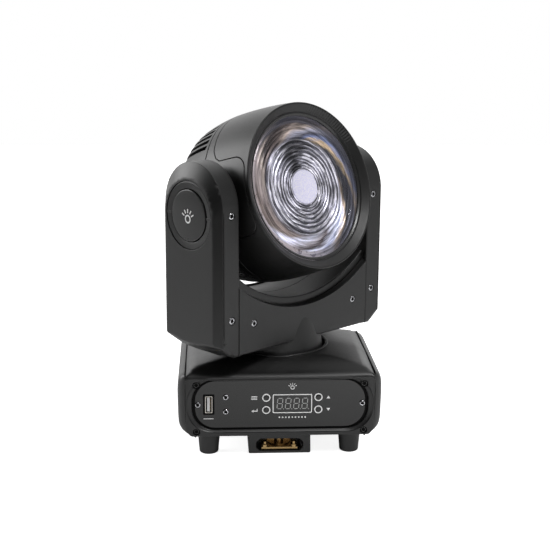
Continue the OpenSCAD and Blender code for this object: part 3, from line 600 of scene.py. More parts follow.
def polar(n, place_matrix):
    """Radius and angle round the head's axis, from object coordinates."""
    turn = place_matrix.to_3x3().inverted()
    centre = place_matrix.translation
    moved = n.add("VectorMath", operation="SUBTRACT", in0=n.place(), in1=tuple(centre)).outputs[0]
    x, z = [
        n.add("VectorMath", operation="DOT_PRODUCT", in0=moved, in1=tuple(row)).outputs["Value"]
        for row in (turn[0], turn[2])
    ]
    radius = n.math("SQRT", n.math("ADD", n.math("MULTIPLY", x, x), n.math("MULTIPLY", z, z)))
    return radius, n.math("ARCTAN2", z, x)


# Radii where the steps of the lens start: RING_FIRST + RING_A k + RING_B k^2
RING_FIRST, RING_A, RING_B = 14.5, 1.86, 0.145

# Colours of painted reflection met going round the lens from nine o'clock by six, three and twelve: (turn, colour)
PAINTED_STREAKS = [
    (0.00, (0.26, 0.22, 0.21)), (0.07, (0.16, 0.13, 0.12)), (0.13, (0.22, 0.18, 0.16)),
    (0.18, (0.55, 0.56, 0.66)), (0.22, (0.30, 0.28, 0.30)), (0.26, (0.06, 0.045, 0.045)),
    (0.31, (0.50, 0.52, 0.62)), (0.36, (0.26, 0.28, 0.38)), (0.40, (0.62, 0.62, 0.70)),
    (0.43, (0.36, 0.28, 0.21)), (0.46, (0.03, 0.03, 0.035)), (0.56, (0.035, 0.035, 0.045)),
    (0.60, (0.44, 0.33, 0.20)), (0.63, (0.16, 0.19, 0.32)), (0.67, (0.05, 0.05, 0.065)),
    (0.72, (0.30, 0.30, 0.36)), (0.77, (0.34, 0.28, 0.24)), (0.81, (0.07, 0.055, 0.05)),
    (0.88, (0.025, 0.02, 0.02)), (0.93, (0.20, 0.17, 0.15)), (1.00, (0.26, 0.22, 0.21)),
]
# Brightness of the painted highlights on the mirror rings on the same way round
PAINTED_ARCS = [
    (0.00, 0.95), (0.05, 1.00), (0.10, 0.40), (0.13, 0.10), (0.17, 0.70), (0.21, 0.22), (0.25, 0.50),
    (0.29, 0.20), (0.34, 1.00), (0.39, 0.60), (0.43, 0.26), (0.48, 0.90), (0.54, 1.10), (0.59, 0.45),
    (0.64, 0.70), (0.69, 0.16), (0.74, 0.05), (0.79, 0.22), (0.84, 0.80), (0.89, 0.95), (0.94, 0.35),
    (1.00, 0.95),
]


def painted_reflection_look():
    """What the lens shows, all painted: highlights on mirror rings broken into arcs, twisted streaks of reflection
    round them, a bright centre, shade and a tan reflection in the outer band, and a faint glow.
    """
    n = Nodes("ring_optic_painted")
    radius, angle = polar(n, HEAD)
    mm = n.math("MULTIPLY", radius, 1000.0)

    def swirl(twist, around, outward, scale, detail):
        turned = n.math("ADD", angle, n.math("MULTIPLY", mm, twist))
        at = n.add(
            "CombineXYZ", X=n.math("MULTIPLY", n.math("COSINE", turned), around),
            Y=n.math("MULTIPLY", n.math("SINE", turned), around), Z=n.math("MULTIPLY", mm, outward),
        )
        return n.noise(at.outputs[0], scale, detail, 0.6)

    def ramp(factor, stops):
        made = n.add("ValToRGB", Fac=factor)
        elements = made.color_ramp.elements
        for place, (position, colour) in zip((0, 1), (stops[0], stops[-1])):
            elements[place].position, elements[place].color = position, (*colour, 1)
        for position, colour in stops[1:-1]:
            elements.new(position).color = (*colour, 1)
        return made.outputs[0]

    def way_round(twist, waver, noise):
        """Share of a full turn from nine o'clock, twisted outwards and made to waver."""
        turn = n.math("ADD", n.math("DIVIDE", angle, 2 * math.pi), 0.5)
        turn = n.math("ADD", turn, n.math("MULTIPLY", n.math("SUBTRACT", mm, 44.0), twist))
        return n.math("FRACT", n.math("ADD", turn, n.math("MULTIPLY", n.math("SUBTRACT", noise, 0.5), waver)))

    broad = swirl(0.040, 1.0, 0.050, 1.9, 3)
    lines = swirl(0.075, 1.2, 0.36, 1.6, 4)
    strands = n.add("MapRange", Value=lines, From_Min=0.36, From_Max=0.62, To_Min=0.35, To_Max=1.9)
    # painted reflections: twisted streaks of colour round the lens
    streaks = ramp(way_round(0.012, 0.16, broad), PAINTED_STREAKS)
    tint = n.blend(0.9, streaks, strands.outputs[0], "MULTIPLY")
    root = n.math("ADD", RING_A**2, n.math("MULTIPLY", n.math("SUBTRACT", mm, RING_FIRST), 4 * RING_B))
    root = n.math("SQRT", n.math("MAXIMUM", root, 0.0))
    ring = n.math("DIVIDE", n.math("SUBTRACT", root, RING_A), 2 * RING_B)
    phase = n.math("FRACT", n.math("ADD", ring, n.math("MULTIPLY", n.math("SUBTRACT", lines, 0.5), 1.5)))
    # painted highlight along the crest of each ring
    crest = ramp(phase, [
        (0.0, (0.03, 0.03, 0.04)), (0.32, (0.06, 0.06, 0.07)), (0.46, (1, 1, 1)), (0.68, (1, 1, 1)),
        (0.84, (0.30, 0.30, 0.34)), (1.0, (0.05, 0.05, 0.07)),
    ])
    arcs = ramp(way_round(0.003, 0.35, lines), [(at, (v, v * 0.985, v * 1.06)) for at, v in PAINTED_ARCS])
    ringed = n.blend(0.93, arcs, crest, "MULTIPLY")
    both = n.blend(n.step(mm, 36.5, 41.5), ringed, tint)
    # outer band: painted tan reflection towards the left, painted shade towards the right
    specks = n.noise(n.place(), 260, 2, 0.6)
    tan = n.blend(n.math("GREATER_THAN", specks, 0.60), (0.42, 0.37, 0.37, 1), (0.10, 0.07, 0.07, 1))
    leftward = n.math("MULTIPLY", n.math("COSINE", n.math("SUBTRACT", angle, 0.5)), -1.0)
    edge = n.blend(n.step(leftward, 0.1, 0.7), (0.06, 0.06, 0.075, 1), tan)
    body = n.blend(n.step(mm, 49.0, 51.0, high=0.75), both, edge)
    # centre: painted bright reflection with fine specks
    speckle = n.noise(n.place(), 1100, 3, 0.7)
    centre = n.blend(speckle, (0.42, 0.41, 0.50, 1), (1.0, 0.98, 1.1, 1))
    colour = n.blend(n.step(mm, 12.5, 14.2, 1.0, 0.0), body, centre)
    bump = n.add("Bump", Strength=0.4, Distance=0.0006, Height=n.math("ADD", lines, broad)).outputs[0]
    # emission: a faint painted glow
    shader = n.add(
        "BsdfPrincipled", Base_Color=colour, Metallic=0.5, Roughness=0.32, Normal=bump,
        Specular_IOR_Level=0.2, Emission_Color=colour, Emission_Strength=0.38,
    )
    return n.finish(shader.outputs[0])


LOOKS["lens_clear"] = lens_look()
PAINTED_OPTIC_LOOK = painted_reflection_look()

# ---------- head ----------

RIM_Y = span("front_housing", HEAD)[0][1]
BACK_Y = span("rear_housing", HEAD)[1][1]
LENS_LOW, LENS_HIGH = span("lens", HEAD)
LENS_R = LENS_HIGH[0]
ROLL = 67.0  # radius at which distances round the head are true

# Outside of the head as (distance behind the tilt axis, radius)
OUTSIDE = curve([
    (RIM_Y, 64.3), (-30, 65.6), (-20, 66.6), (-10, 67.3), (0, 67.8), (10, 68.0), (16, 67.8), (22, 67.35),
    (30, 66.4), (38, 65.0), (44, 62.8), (49, 59.6), (52.5, 55.6), (54.8, 51), (BACK_Y, 46),
])
OUTSIDE_LENGTH = lengths(OUTSIDE)
SHOULDER_END = OUTSIDE_LENGTH[-1]


def head_skin_surface(u, v):
    """u runs round the head from its top towards the right, v along its outside from the rim."""
    y = np.interp(v, OUTSIDE_LENGTH, OUTSIDE[:, 0])
    r = np.interp(v, OUTSIDE_LENGTH, OUTSIDE[:, 1])
    # beyond the tabulated line, keep going straight
    y = y + np.minimum(v, 0)
    return np.stack([r * np.sin(u / ROLL), y, r * np.cos(u / ROLL)], 1)


def on_head(points):
    """Turns (degrees above the side, y) into the (u, v) of the head's outside."""
    p = np.array(points, float)
    u = np.radians(90 - p[:, 0]) * ROLL
    v = np.interp(p[:, 1], OUTSIDE[:, 0], OUTSIDE_LENGTH)
    return np.stack([u, v], 1)


CUT_U = math.pi * ROLL
RIM_V = 1.6

# Joint lines on the upper right quarter, as (degrees above the side, distance behind the tilt axis)
FRONT_JOINT = [(90, 11.8), (79, 11.4), (65, 9.0), (52, 5.3), (43, 2.9), (35, 0.4), (29, -4.0)]
REAR_JOINT = [(90, 17.0), (80, 16.6), (69, 15.4), (55, 12.6), (45.5, 10.5), (37, 8.9), (30, 8.3), (0, 8.2)]
PANEL_ANGLE = 26.2
PANEL_FRONT_Y = span("head_frame", HEAD)[0][1]
JOINT_GAP = 0.28


def quarter_to_ring(line):
    """Continues a line on the upper right quarter round the right half, from the top to the bottom."""
    up = on_head(line)
    down = up[::-1].copy()
    down[:, 0] = CUT_U - down[:, 0]
    return up, down


def side_panel_line(shift):
    """Front of a side panel, from its upper rear corner round its front corners to its lower rear one."""
    top, front = math.radians(PANEL_ANGLE) * ROLL + shift, PANEL_FRONT_Y - shift
    v_front = float(np.interp(front, OUTSIDE[:, 0], OUTSIDE_LENGTH))
    v_back = float(np.interp(-9.0, OUTSIDE[:, 0], OUTSIDE_LENGTH))
    side = math.pi / 2 * ROLL
    r = 11 + shift
    return soft(
        [(side - top, v_back), (side - top, v_front, r), (side + top, v_front, r), (side + top, v_back)],
        closed=False,
    )


def ring_loop(front_half, back_half):
    """Closed outline round the whole head from its right half's front and back lines, cut at the bottom."""
    def whole(half):
        other = half[::-1].copy()
        other[:, 0] *= -1
        return np.vstack([other[:-1], half]) if abs(half[0, 0]) < 1e-6 else np.vstack([other, half])
    front, back = whole(front_half), whole(back_half)
    return np.vstack([front, back[::-1]])


def half_line(line, shift):
    """Right half of a joint line, moved back by shift."""
    up, down = quarter_to_ring([(a, y + shift) for a, y in line])
    return np.vstack([up, down[1:] if abs(up[-1, 0] - down[0, 0]) < 1e-6 else down])


def front_joint(shift):
    """Right half of the line between front housing and head frame."""
    up, down = quarter_to_ring([(a, y - shift) for a, y in FRONT_JOINT])
    return np.vstack([up, side_panel_line(shift), down])


def open_side(limit_v=None):
    """Sides along the cut under the head stay open, and so do sides at a given v."""
    def check(a, b):
        on_cut = abs(abs(a[0]) - CUT_U) < 1e-6 and abs(abs(b[0]) - CUT_U) < 1e-6
        on_v = limit_v is not None and abs(a[1] - limit_v) < 1e-6 and abs(b[1] - limit_v) < 1e-6
        return on_cut or on_v
    return check


# Grip ribs pressed into the rim: where they start and end round it, their spacing (degrees) and depth
RIBS_FROM, RIBS_TO, RIB_STEP, RIB_DEPTH = 27.0, 79.0, 2.25, 0.42


def head_front():
    """Front housing, with the ribbed rim and the seat of the lens."""
    shape = Shape()
    rim_line = np.array([(0, RIM_V), (CUT_U, RIM_V)])
    skin(
        shape, head_skin_surface, [ring_loop(rim_line, front_joint(JOINT_GAP))], 2.4,
        edge=0.5, spacing=4.2, open_at=open_side(RIM_V),
    )
    # rim: rounded outer edge, sloping face, and the seat of the lens
    y0 = float(np.interp(RIM_V, OUTSIDE_LENGTH, OUTSIDE[:, 0]))
    r0 = float(np.interp(RIM_V, OUTSIDE_LENGTH, OUTSIDE[:, 1]))
    seat = LENS_R + 0.35
    profile = soft([
        (r0, y0), (64.35, RIM_Y, 1.0), (62.9, RIM_Y + 0.15, 0.8), (seat + 0.5, RIM_Y + 4.1, 0.35),
        (seat, RIM_Y + 4.5), (seat, RIM_Y + 8.5),
    ], closed=False, step=12)
    fine = []
    for a, b in zip(profile[:-1], profile[1:]):
        pieces = max(1, int(np.linalg.norm(b - a) / 0.6))
        fine += [a + (b - a) * k / pieces for k in range(pieces)]
    profile = np.array(fine + [profile[-1]])
    steps = 1440
    angle = np.arange(steps) * 2 * math.pi / steps
    around = np.degrees(angle)
    ribbed = fade((around - RIBS_FROM) / 5) * fade((RIBS_TO - around) / 5)
    wave = (0.5 - 0.5 * np.cos(2 * math.pi * around / RIB_STEP)) ** 0.7
    on_face = fade((64.0 - profile[:, 0]) / 0.7) * fade((profile[:, 0] - seat - 0.7) / 0.7)
    on_face = on_face * (profile[:, 1] < RIM_Y + 5)
    dent = RIB_DEPTH * np.outer(on_face, ribbed * wave)
    r = profile[:, 0:1] - dent * 0.35
    y = profile[:, 1:2] + dent
    rows = np.stack([r * np.cos(angle), np.broadcast_to(y, r.shape), r * np.sin(angle)], -1)
    shape.grid(rows, ring_normals(rows), closed=True)
    shape.object("head_front_housing", "head", "bezel_plastic", ["front_housing"])


def head_middle():
    """Ring between the joint lines, and the two side panels that reach forward from it."""
    shape = Shape()
    front = front_joint(0.0)
    back = half_line(REAR_JOINT, -JOINT_GAP)
    skin(
        shape, head_skin_surface, [ring_loop(front, back)], 2.4, edge=0.5, spacing=3.6,
        open_at=open_side(),
    )
    ribs = Shape()
    profile = soft([(60, 9.0), (66.5, 9.0), (66.5, 15.5), (60, 15.5)])
    revolve(ribs, np.vstack([profile, profile[:1]]), "y", 120, left=False)
    shape.join(ribs)
    shape.object("head_side_panels", "head", "cover_plastic", ["head_frame"])


# Louvres of the rear housing, in one row over the top and one under the bottom
SLOT_STEP = 5.5  # degrees
SLOT_COUNT = 19
SLOT_WIDTH = 3.9
GRILLE_R = 27.0
GRILLE_STEP = 4.9
GRILLE_HALF_SLOT = 1.45


def slot_loop(angle, y_front, v_back, width):
    """Outline of a louvre at an angle above the side, between two places along the head."""
    u = math.radians(90 - angle) * ROLL
    v_front = float(np.interp(y_front, OUTSIDE[:, 0], OUTSIDE_LENGTH))
    half = width / 2
    front, back = (v_front, 0.7), (v_back, 1.0)
    return soft([(u - half, *front), (u + half, *front), (u + half, *back), (u - half, *back)], step=30)


def head_rear():
    """Louvred rear housing, and its round back face with the fan's grille."""
    shape = Shape()
    end = np.array([(0, SHOULDER_END - 0.6), (CUT_U, SHOULDER_END - 0.6)])
    slots = []
    for mirror in (1, -1):
        for i in range(SLOT_COUNT):
            angle = 90 + (i - (SLOT_COUNT - 1) / 2) * SLOT_STEP
            a = min(angle, 180 - angle)
            start = float(np.interp(a, [p[0] for p in REAR_JOINT[::-1]], [p[1] for p in REAR_JOINT[::-1]]))
            loop = slot_loop(angle, start + 3.4, SHOULDER_END - 7.0, SLOT_WIDTH)
            if mirror < 0:
                loop[:, 0] = CUT_U - loop[:, 0]
                loop[:, 0] = np.where(loop[:, 0] > CUT_U, loop[:, 0] - 2 * CUT_U, loop[:, 0])
                if np.ptp(loop[:, 0]) > 50:
                    continue
            slots.append(loop)
    skin(
        shape, head_skin_surface, [ring_loop(half_line(REAR_JOINT, JOINT_GAP), end)] + slots, 2.6,
        edge=0.45, spacing=3.4, open_at=open_side(), rounds=2,
    )
    # round cover at the back, with the fan's grille
    holes = []
    bar = 1.4  # half of the bar across the grille
    for i in range(-5, 6):
        x = i * GRILLE_STEP
        half = math.sqrt(max(0, GRILLE_R**2 - (abs(x) + bar) ** 2))
        for low, high in ((-half, -bar), (bar, half)):
            if high - low > 3:
                holes.append(rect(x - GRILLE_HALF_SLOT, x + GRILLE_HALF_SLOT, low, high, 1.3))
    screws = [circle(x, z, 1.7, 16) for x in (-25, 25) for z in (-25, 25)]

    def back_face(u, v):
        r = np.sqrt(u * u + v * v)
        return np.stack([-u, BACK_Y - 0.35 * (r / 46) ** 4, v], 1)

    loops = [circle(0, 0, 45.2, 120)] + holes + screws
    skin(shape, back_face, loops, 2.0, edge=0.5, spacing=3.4, rounds=2)
    shape.object("head_rear_housing", "head", "cover_plastic", ["rear_housing"])
    # painted shade: a dark ring in the gap round the round back cover
    dark = Shape()
    revolve(dark, [(40, BACK_Y - 3.2), (48, BACK_Y - 3.2)], "y", 96)
    dark.object("rear_cover_seat_shade", "head", look=BLACK_AND_PAINTED_SHADE)


LENS_STEPS = [RING_FIRST + RING_A * k + RING_B * k * k for k in range(11)]


def lens_profile(depth, count):
    """Front of the lens as (radius, y): a low dome with a step at each ring."""
    low = LENS_LOW[1]
    points = [(0.0, low + 0.1)]
    for r in np.linspace(0.8, LENS_STEPS[0] - 0.4, 14):
        points.append((r, low + 0.1 + 0.5 * (r / LENS_STEPS[0]) ** 2))
    for a, b in zip(LENS_STEPS[:-1], LENS_STEPS[1:]):
        base = low + 0.35 + 0.8 * (a / LENS_R) ** 2
        for t in np.linspace(0, 1, count):
            points.append((a + (b - a) * (0.02 + 0.9 * t), base + depth * (0.1 + 0.9 * t**1.4)))
        points.append((b - 0.04 * (b - a), base + depth))
    edge = LENS_STEPS[-1]
    for r in np.linspace(edge + 0.4, LENS_R - 0.3, 14):
        points.append((r, low + 0.9 + 0.5 * ((r - edge) / (LENS_R - edge)) ** 2))
    return points


def lens_and_optic():
    """Stepped lens, the optic that shows through it, and the ring that holds the lens."""
    shape = Shape()
    revolve(shape, lens_profile(0.55, 7), "y", 200)
    shape.object("stepped_lens", "head", "lens_clear", ["lens"])
    # what the lens shows of the inside: a bowl of mirror rings, coloured with painted reflections, highlights and
    # a faint painted glow
    optic = Shape()
    back = LENS_HIGH[1] - 0.6
    points = [(0.0, back - 0.8)]
    for r in np.linspace(1, 12.6, 12):
        points.append((r, back - 0.8 + 0.9 * (r / 13) ** 2))
    radii = [13.2 + 1.3 * k + 0.085 * k * k for k in range(17)]
    for a, b in zip(radii[:-1], radii[1:]):
        for t in np.linspace(0, 1, 9):
            points.append((a + (b - a) * t, back + 0.15 + 0.75 * math.sin(math.pi * t) ** 1.2))
    last = radii[-1]
    for r in np.linspace(last + 0.5, LENS_R - 0.6, 12):
        points.append((r, back + 0.15 + 1.6 * math.sin(math.pi * (r - last) / (LENS_R - last))))
    points.append((LENS_R - 0.1, back + 0.1))
    revolve(optic, points, "y", 200)
    optic.object("ring_optic_painted", "head", "reflector_mirror", ["reflector"], PAINTED_OPTIC_LOOK)
    ring = Shape()
    low = span("lens_ring", HEAD)[0][1]
    profile = soft([
        (LENS_R + 0.2, low - 0.1), (LENS_R - 0.9, low - 0.25, 0.3), (LENS_R - 2.2, low + 0.7, 0.5),
        (LENS_R - 2.4, low + 1.6),
    ], closed=False)
    revolve(ring, profile, "y", 160, left=False)
    ring.object("lens_retaining_ring", "head", "cover_plastic", ["lens_ring"], LOOKS["cap_plastic"])


head_front()
head_middle()
head_rear()
lens_and_optic()

# ---------- yoke ----------

ARM_LOW, ARM_HIGH = span("arm_shell_left", YOKE)
YOKE_FRONT = ARM_LOW[1]
YOKE_INNER = -ARM_HIGH[0]
YOKE_SEAM = -ARM_LOW[0]
YOKE_LOW = ARM_LOW[2]
YOKE_OUTER = -span("arm_cover_left", YOKE)[0][0]
ARM_R = -YOKE_FRONT
CAP_Z = 190.0
CAP_R = span("arm_caps", YOKE)[1][1]
DISH_R = 25.6
BEND_X = 75.0  # inboard of this the underside is level
BEND_SLOPE = 1 / 1.28
SIDE_SCREWS = (TILT_Z - 4.3, TILT_Z - 82.9)
SIDE_SCREW_X = 77.0
CENTRE_SCREW = (54.6, TILT_Z - 88.8)
SCREW_HOLE = 3.05
SADDLE_Z = 222.8
SADDLE_R = 104.5


def underside(x, y):
    """Height of the arm's sloping underside."""
    arch = 4 * (1 - (np.abs(y) / ARM_R) ** 2)
    return YOKE_LOW + np.maximum(0, (np.abs(x) - BEND_X) * BEND_SLOPE - arch)


def arch_line(r, low, corner):
    """Outline of an arm seen from the side as (y, z): a half circle on two straight sides."""
    a = np.radians(np.arange(0, 181, 3))
    top = np.stack([r * np.cos(a), TILT_Z + r * np.sin(a)], 1)
    bottom = soft([(-r, TILT_Z), (-r, low, corner), (r, low, corner), (r, TILT_Z)], closed=False)
    return np.vstack([top, bottom[1:-1]])


def arm_shell():
    """Right arm's inboard shell, open at the seam with its cover."""
    shape = Shape()
    edge = 1.2
    skin(
        shape, lambda u, v: np.stack([np.full_like(u, YOKE_INNER), u, v], 1),
        [arch_line(ARM_R - edge, YOKE_LOW + edge, 0.8), circle(0, TILT_Z, 14, 60)], 2.0, edge=0.3, spacing=5,
        side=-1, open_at=lambda a, b: np.hypot(a[0], a[1] - TILT_Z) > 20, back=False,
    )
    loop = resample(arch_line(ARM_R, YOKE_LOW, 1.5), 2.0)
    ring = np.vstack([loop, loop[:1]])
    around = lengths(ring)
    whole = around[-1]

    def wall(u, v):
        s = np.mod(u, whole)
        y, z = np.interp(s, around, ring[:, 0]), np.interp(s, around, ring[:, 1])
        lift = np.maximum(underside(v, y) - YOKE_LOW, 0) * fade((TILT_Z - 60 - z) / 40)
        return np.stack([v, y, z + lift * fade((100 - z) / 12)], 1)

    # rounded edge between inner face and wall
    rows, normals = [], []
    step = unit(np.roll(loop, -1, axis=0) - np.roll(loop, 1, axis=0))
    out = np.stack([step[:, 1], -step[:, 0]], 1)
    for k in range(6):
        a = math.pi / 2 * k / 5
        x = np.full((len(loop), 1), YOKE_INNER + edge * (1 - math.sin(a)))
        rows.append(np.hstack([x, loop - out * edge * (1 - math.cos(a))]))
        normals.append(np.hstack([np.full((len(loop), 1), -math.sin(a)), out * math.cos(a)]))
    shape.grid(rows, normals, closed=True)

    # wall, with a counterbore at each side screw
    holes = []
    cup = [(SCREW_HOLE, ARM_R - 0.4), (SCREW_HOLE, ARM_R - 2.6), (0, ARM_R - 2.6)]
    for height in SIDE_SCREWS:
        for side in (-1, 1):
            k = int(np.argmin(np.hypot(ring[:, 0] - side * ARM_R, ring[:, 1] - height)))
            holes.append(circle(around[k] + side * (height - ring[k, 1]), SIDE_SCREW_X, SCREW_HOLE, 28))
    front = YOKE_INNER + edge
    skin(
        shape, wall, [rect(0, whole, front, YOKE_SEAM)] + holes, 2.2, edge=0.35, spacing=3.6,
        open_at=lambda a, b: abs(a[1] - b[1]) > 1e-6 and abs(a[0] - b[0]) < 1e-6
        or (abs(a[1] - front) < 1e-6 and abs(b[1] - front) < 1e-6),
        back=False,
    )
    for side in (-1, 1):
        for height in SIDE_SCREWS:
            bore = revolve(Shape(), cup, "y", 28, left=False)
            shape.join(bore.moved(place_screw((SIDE_SCREW_X, 0, height), side)))
    return shape


def place_screw(at, side):
    """Turns something made round +Y so that it sits at a point and faces +Y (side 1) or -Y (side -1)."""
    turn = Matrix.Identity(4) if side > 0 else Matrix.Rotation(math.pi, 4, "Z")
    return Matrix.Translation(at) @ turn


def arm_cover():
    """Right arm's outer cover: flat face, broad chamfer all round, and a round hole for the dish."""
    shape = Shape()
    arc = np.radians(np.arange(0, 181, 3))
    top = np.stack([ARM_R * np.cos(arc), TILT_Z + ARM_R * np.sin(arc)], 1)
    across = np.linspace(-ARM_R, ARM_R, 25)[1:-1]
    arch = 4 * (1 - (across / ARM_R) ** 2)
    foot = np.stack([across, YOKE_LOW + (YOKE_SEAM + 0.1 - BEND_X) * BEND_SLOPE - arch], 1)
    corner = soft([(-ARM_R, TILT_Z), (-ARM_R, foot[0, 1] + 1.0, 1.2), tuple(foot[0])], closed=False)
    outline = np.vstack([top, corner[1:-1], foot, [(ARM_R, foot[-1, 1] + 1.0)]])

    def height(y, z):
        dy, dz = np.abs(y), z - CAP_Z
        rho = np.hypot(y, dz)
        unit_y, unit_z = dy / np.maximum(rho, 1e-9), dz / np.maximum(rho, 1e-9)
        rise = TILT_Z - CAP_Z
        on_arch = unit_z * rise + np.sqrt(np.maximum(ARM_R**2 - rise**2 + (unit_z * rise) ** 2, 0))
        on_side = ARM_R / np.maximum(unit_y, 1e-6)
        outer = np.where(unit_z * on_side < rise, on_side, on_arch)
        t_top = (rho - 27.6) / np.maximum(outer - 27.6, 0.5)
        t_side = (dy - 27.6) / (ARM_R - 27.6)
        t = np.where(dz > 0, t_top, t_side)
        x = YOKE_OUTER - 5.0 * smooth_max(t, 0, 0.05)
        slope = BEND_X + (z - YOKE_LOW + 4 * (1 - (dy / ARM_R) ** 2)) / BEND_SLOPE
        x = smooth_min(x, slope, 0.35)
        return np.maximum(x, YOKE_SEAM + 0.1)

    surface = lambda u, v: np.stack([height(u, v), u, v], 1)
    skin(shape, surface, [outline, circle(0, CAP_Z, DISH_R, 72)], 1.6, edge=0.3, spacing=2.1)
    dish = Shape()
    x = YOKE_OUTER
    profile = soft([
        (DISH_R - 0.25, x - 2.4), (DISH_R - 0.25, x - 0.75), (DISH_R - 0.9, x - 0.45, 0.4),
        (CAP_R + 1.0, x - 0.9, 0.4), (CAP_R + 0.35, x - 1.6), (CAP_R + 0.35, x - 3),
    ], closed=False)
    revolve(dish, profile, "x", 110)
    shape.join(dish.moved(Matrix.Translation((0, 0, CAP_Z))))
    for side in (-1, 1):
        bar = Shape()
        y0, y1 = sorted((side * (CAP_R + 0.5), side * (DISH_R + 0.3)))
        skin(
            bar, lambda u, v: np.stack([x - 0.42 + 0 * u, u, v], 1),
            [rect(y0, y1, CAP_Z - 0.8, CAP_Z + 0.8, 0.3)], 0.8, edge=0.15, spacing=2, back=False,
        )
        shape.join(bar)
    return shape


def lamp_mark(draw, x, z, scale):
    """Generic sign for a lamp: a ring with five rays."""
    draw(circle(x, z, 2.6 * scale, 32), circle(x, z, 1.7 * scale, 32))
    for a in np.radians((-60, -30, 0, 30, 60)):
        out, across = np.array([math.sin(a), math.cos(a)]), np.array([math.cos(a), -math.sin(a)])
        corners = [out * r + across * w for r, w in ((3.6, -0.42), (6.0, -0.42), (6.0, 0.42), (3.6, 0.42))]
        draw(np.array([(x, z) + scale * c for c in corners]))


def cap_print():
    """White sign on a cap's face."""
    ink = Shape()
    rise = lambda u, v: YOKE_OUTER - 0.15 + 0.5 * (1 - (u * u + (v - CAP_Z) ** 2) / CAP_R**2) + 0.06
    surface = lambda u, v: np.stack([rise(u, v), u, v], 1)

    def draw(*loops):
        skin(ink, surface, list(loops), 0.05, edge=0.02, spacing=1.5, back=False, rounds=1)

    lamp_mark(draw, 0, CAP_Z - 2.5, 1.25)
    return ink


def cap():
    """Round cap in the middle of an arm, slightly domed."""
    x = YOKE_OUTER + 0.35
    points = [(CAP_R, x - 3), (CAP_R, x - 1.0)]
    for a in np.radians(np.arange(15, 91, 15)):
        points.append((CAP_R - 0.7 + 0.7 * math.cos(a), x - 1.0 + 0.5 * math.sin(a)))
    for r in np.linspace(CAP_R - 2, 0, 9):
        points.append((r, x - 0.5 + 0.5 * (1 - (r / CAP_R) ** 2)))
    return revolve(Shape(), points, "x", 110, left=False).moved(Matrix.Translation((0, 0, CAP_Z)))


def centre_cover():
    """Front half of the middle of the yoke: front face, rolled lower edge and underside."""
    shape = Shape()
    half = YOKE_INNER - 0.15
    path = soft([(-1.0, YOKE_LOW), (YOKE_FRONT, YOKE_LOW, 1.8), (YOKE_FRONT, 140.0)], closed=False)
    along = lengths(path)
    surface = lambda u, v: np.stack([u, np.interp(v, along, path[:, 0]), np.interp(v, along, path[:, 1])], 1)
    corner = float(along[-1] - (140.0 - YOKE_LOW))
    across = np.linspace(half, -half, 90)
    crest = SADDLE_Z - np.sqrt(110.0**2 - across**2)
    top = np.stack([across, corner + crest - YOKE_LOW], 1)
    outline = np.vstack([[(-half, 0.0), (half, 0.0)], top])
    holes = [circle(s * CENTRE_SCREW[0], corner + CENTRE_SCREW[1] - YOKE_LOW, 2.9, 28) for s in (-1, 1)]
    skin(shape, surface, [outline] + holes, 2.0, edge=0.35, spacing=3.6)
    for s in (-1, 1):
        cup = Shape()
        revolve(cup, [(2.9, ARM_R - 0.4), (2.9, ARM_R - 2.4), (0, ARM_R - 2.4)], "y", 28, left=False)
        shape.join(cup.moved(place_screw((s * CENTRE_SCREW[0], 0, CENTRE_SCREW[1]), -1)))
    return shape


def neck():
    """Cone between the yoke and the base. It pierces the front face in a pointed arch."""
    low, high, foot_r, taper = 71.0, 102.7, 37.5, 4.5
    points = [(foot_r - 1.3, low - 0.4), (foot_r, low + 0.4)]
    for z in np.linspace(low + 0.4, high + 8, 26)[1:]:
        points.append((foot_r - taper * (z - low) / (high - low), z))
    return revolve(Shape(), points, "z", 160, left=False)


def saddle():
    """One half of the curved cover under the head, with a raised lip along its front edge; the yoke mirrors it
    into the other half.
    """
    shape = Shape()
    half = YOKE_INNER - 0.2
    a_max = math.asin(half / SADDLE_R)
    cylinder = lambda u, v: np.stack([
        SADDLE_R * np.sin(u / SADDLE_R), v, SADDLE_Z - SADDLE_R * np.cos(u / SADDLE_R)
    ], 1)
    reach = a_max * SADDLE_R
    skin(shape, cylinder, [rect(-reach, reach, -25.3, -0.15)], 2.0, edge=0.3, spacing=3.4)
    lip = soft([
        (SADDLE_R + 4.6, -27.9), (SADDLE_R + 3.2, -28.1, 0.4), (SADDLE_R - 1.2, -28.0, 0.8),
        (SADDLE_R - 1.2, -25.7, 0.8), (SADDLE_R + 2.0, -25.5),
    ], closed=False)
    ring = Shape()
    degrees = math.degrees(a_max)
    revolve(ring, lip, "y", 80, a0=270 - degrees, a1=270 + degrees)
    # back slope from the lip down to the front face's top edge
    slope = soft([(110.2, YOKE_FRONT + 0.8), (109.0, -28.4)], closed=False)
    revolve(ring, slope, "y", 80, a0=270 - degrees * 0.95, a1=270 + degrees * 0.95)
    shape.join(ring.moved(Matrix.Translation((0, 0, SADDLE_Z))))
    return shape


def yoke():
    right = arm_shell()
    right.object("yoke_arm_right", "yoke", "cover_plastic", ["arm_shell_right"])
    right.mirrored(0).object("yoke_arm_left", "yoke", "cover_plastic", ["arm_shell_left"])
    outer = arm_cover()
    outer.object("yoke_cover_right", "yoke", "cover_plastic", ["arm_cover_right"])
    outer.mirrored(0).object("yoke_cover_left", "yoke", "cover_plastic", ["arm_cover_left"])
    caps = cap()
    caps.join(caps.mirrored(0))
    caps.object("yoke_caps", "yoke", "cap_plastic", ["arm_caps"])
    ink = cap_print()
    ink.join(ink.mirrored(0))
    ink.object("yoke_cap_signs", "yoke", "cap_plastic", look=PRINT)
    front = centre_cover()
    front.object("yoke_centre_front", "yoke", "cover_plastic", ["centre_cover_front"])
    front.mirrored(1).object("yoke_centre_rear", "yoke", "cover_plastic", ["centre_cover_rear"])
    neck().object("yoke_neck", "yoke", "cover_plastic", look=NECK_GRAIN)
    seat = saddle()
    seat.join(seat.mirrored(1))
    seat.object("yoke_saddle", "yoke", "cover_plastic", ["saddle_cover"])


yoke()


# ---------- screws ----------


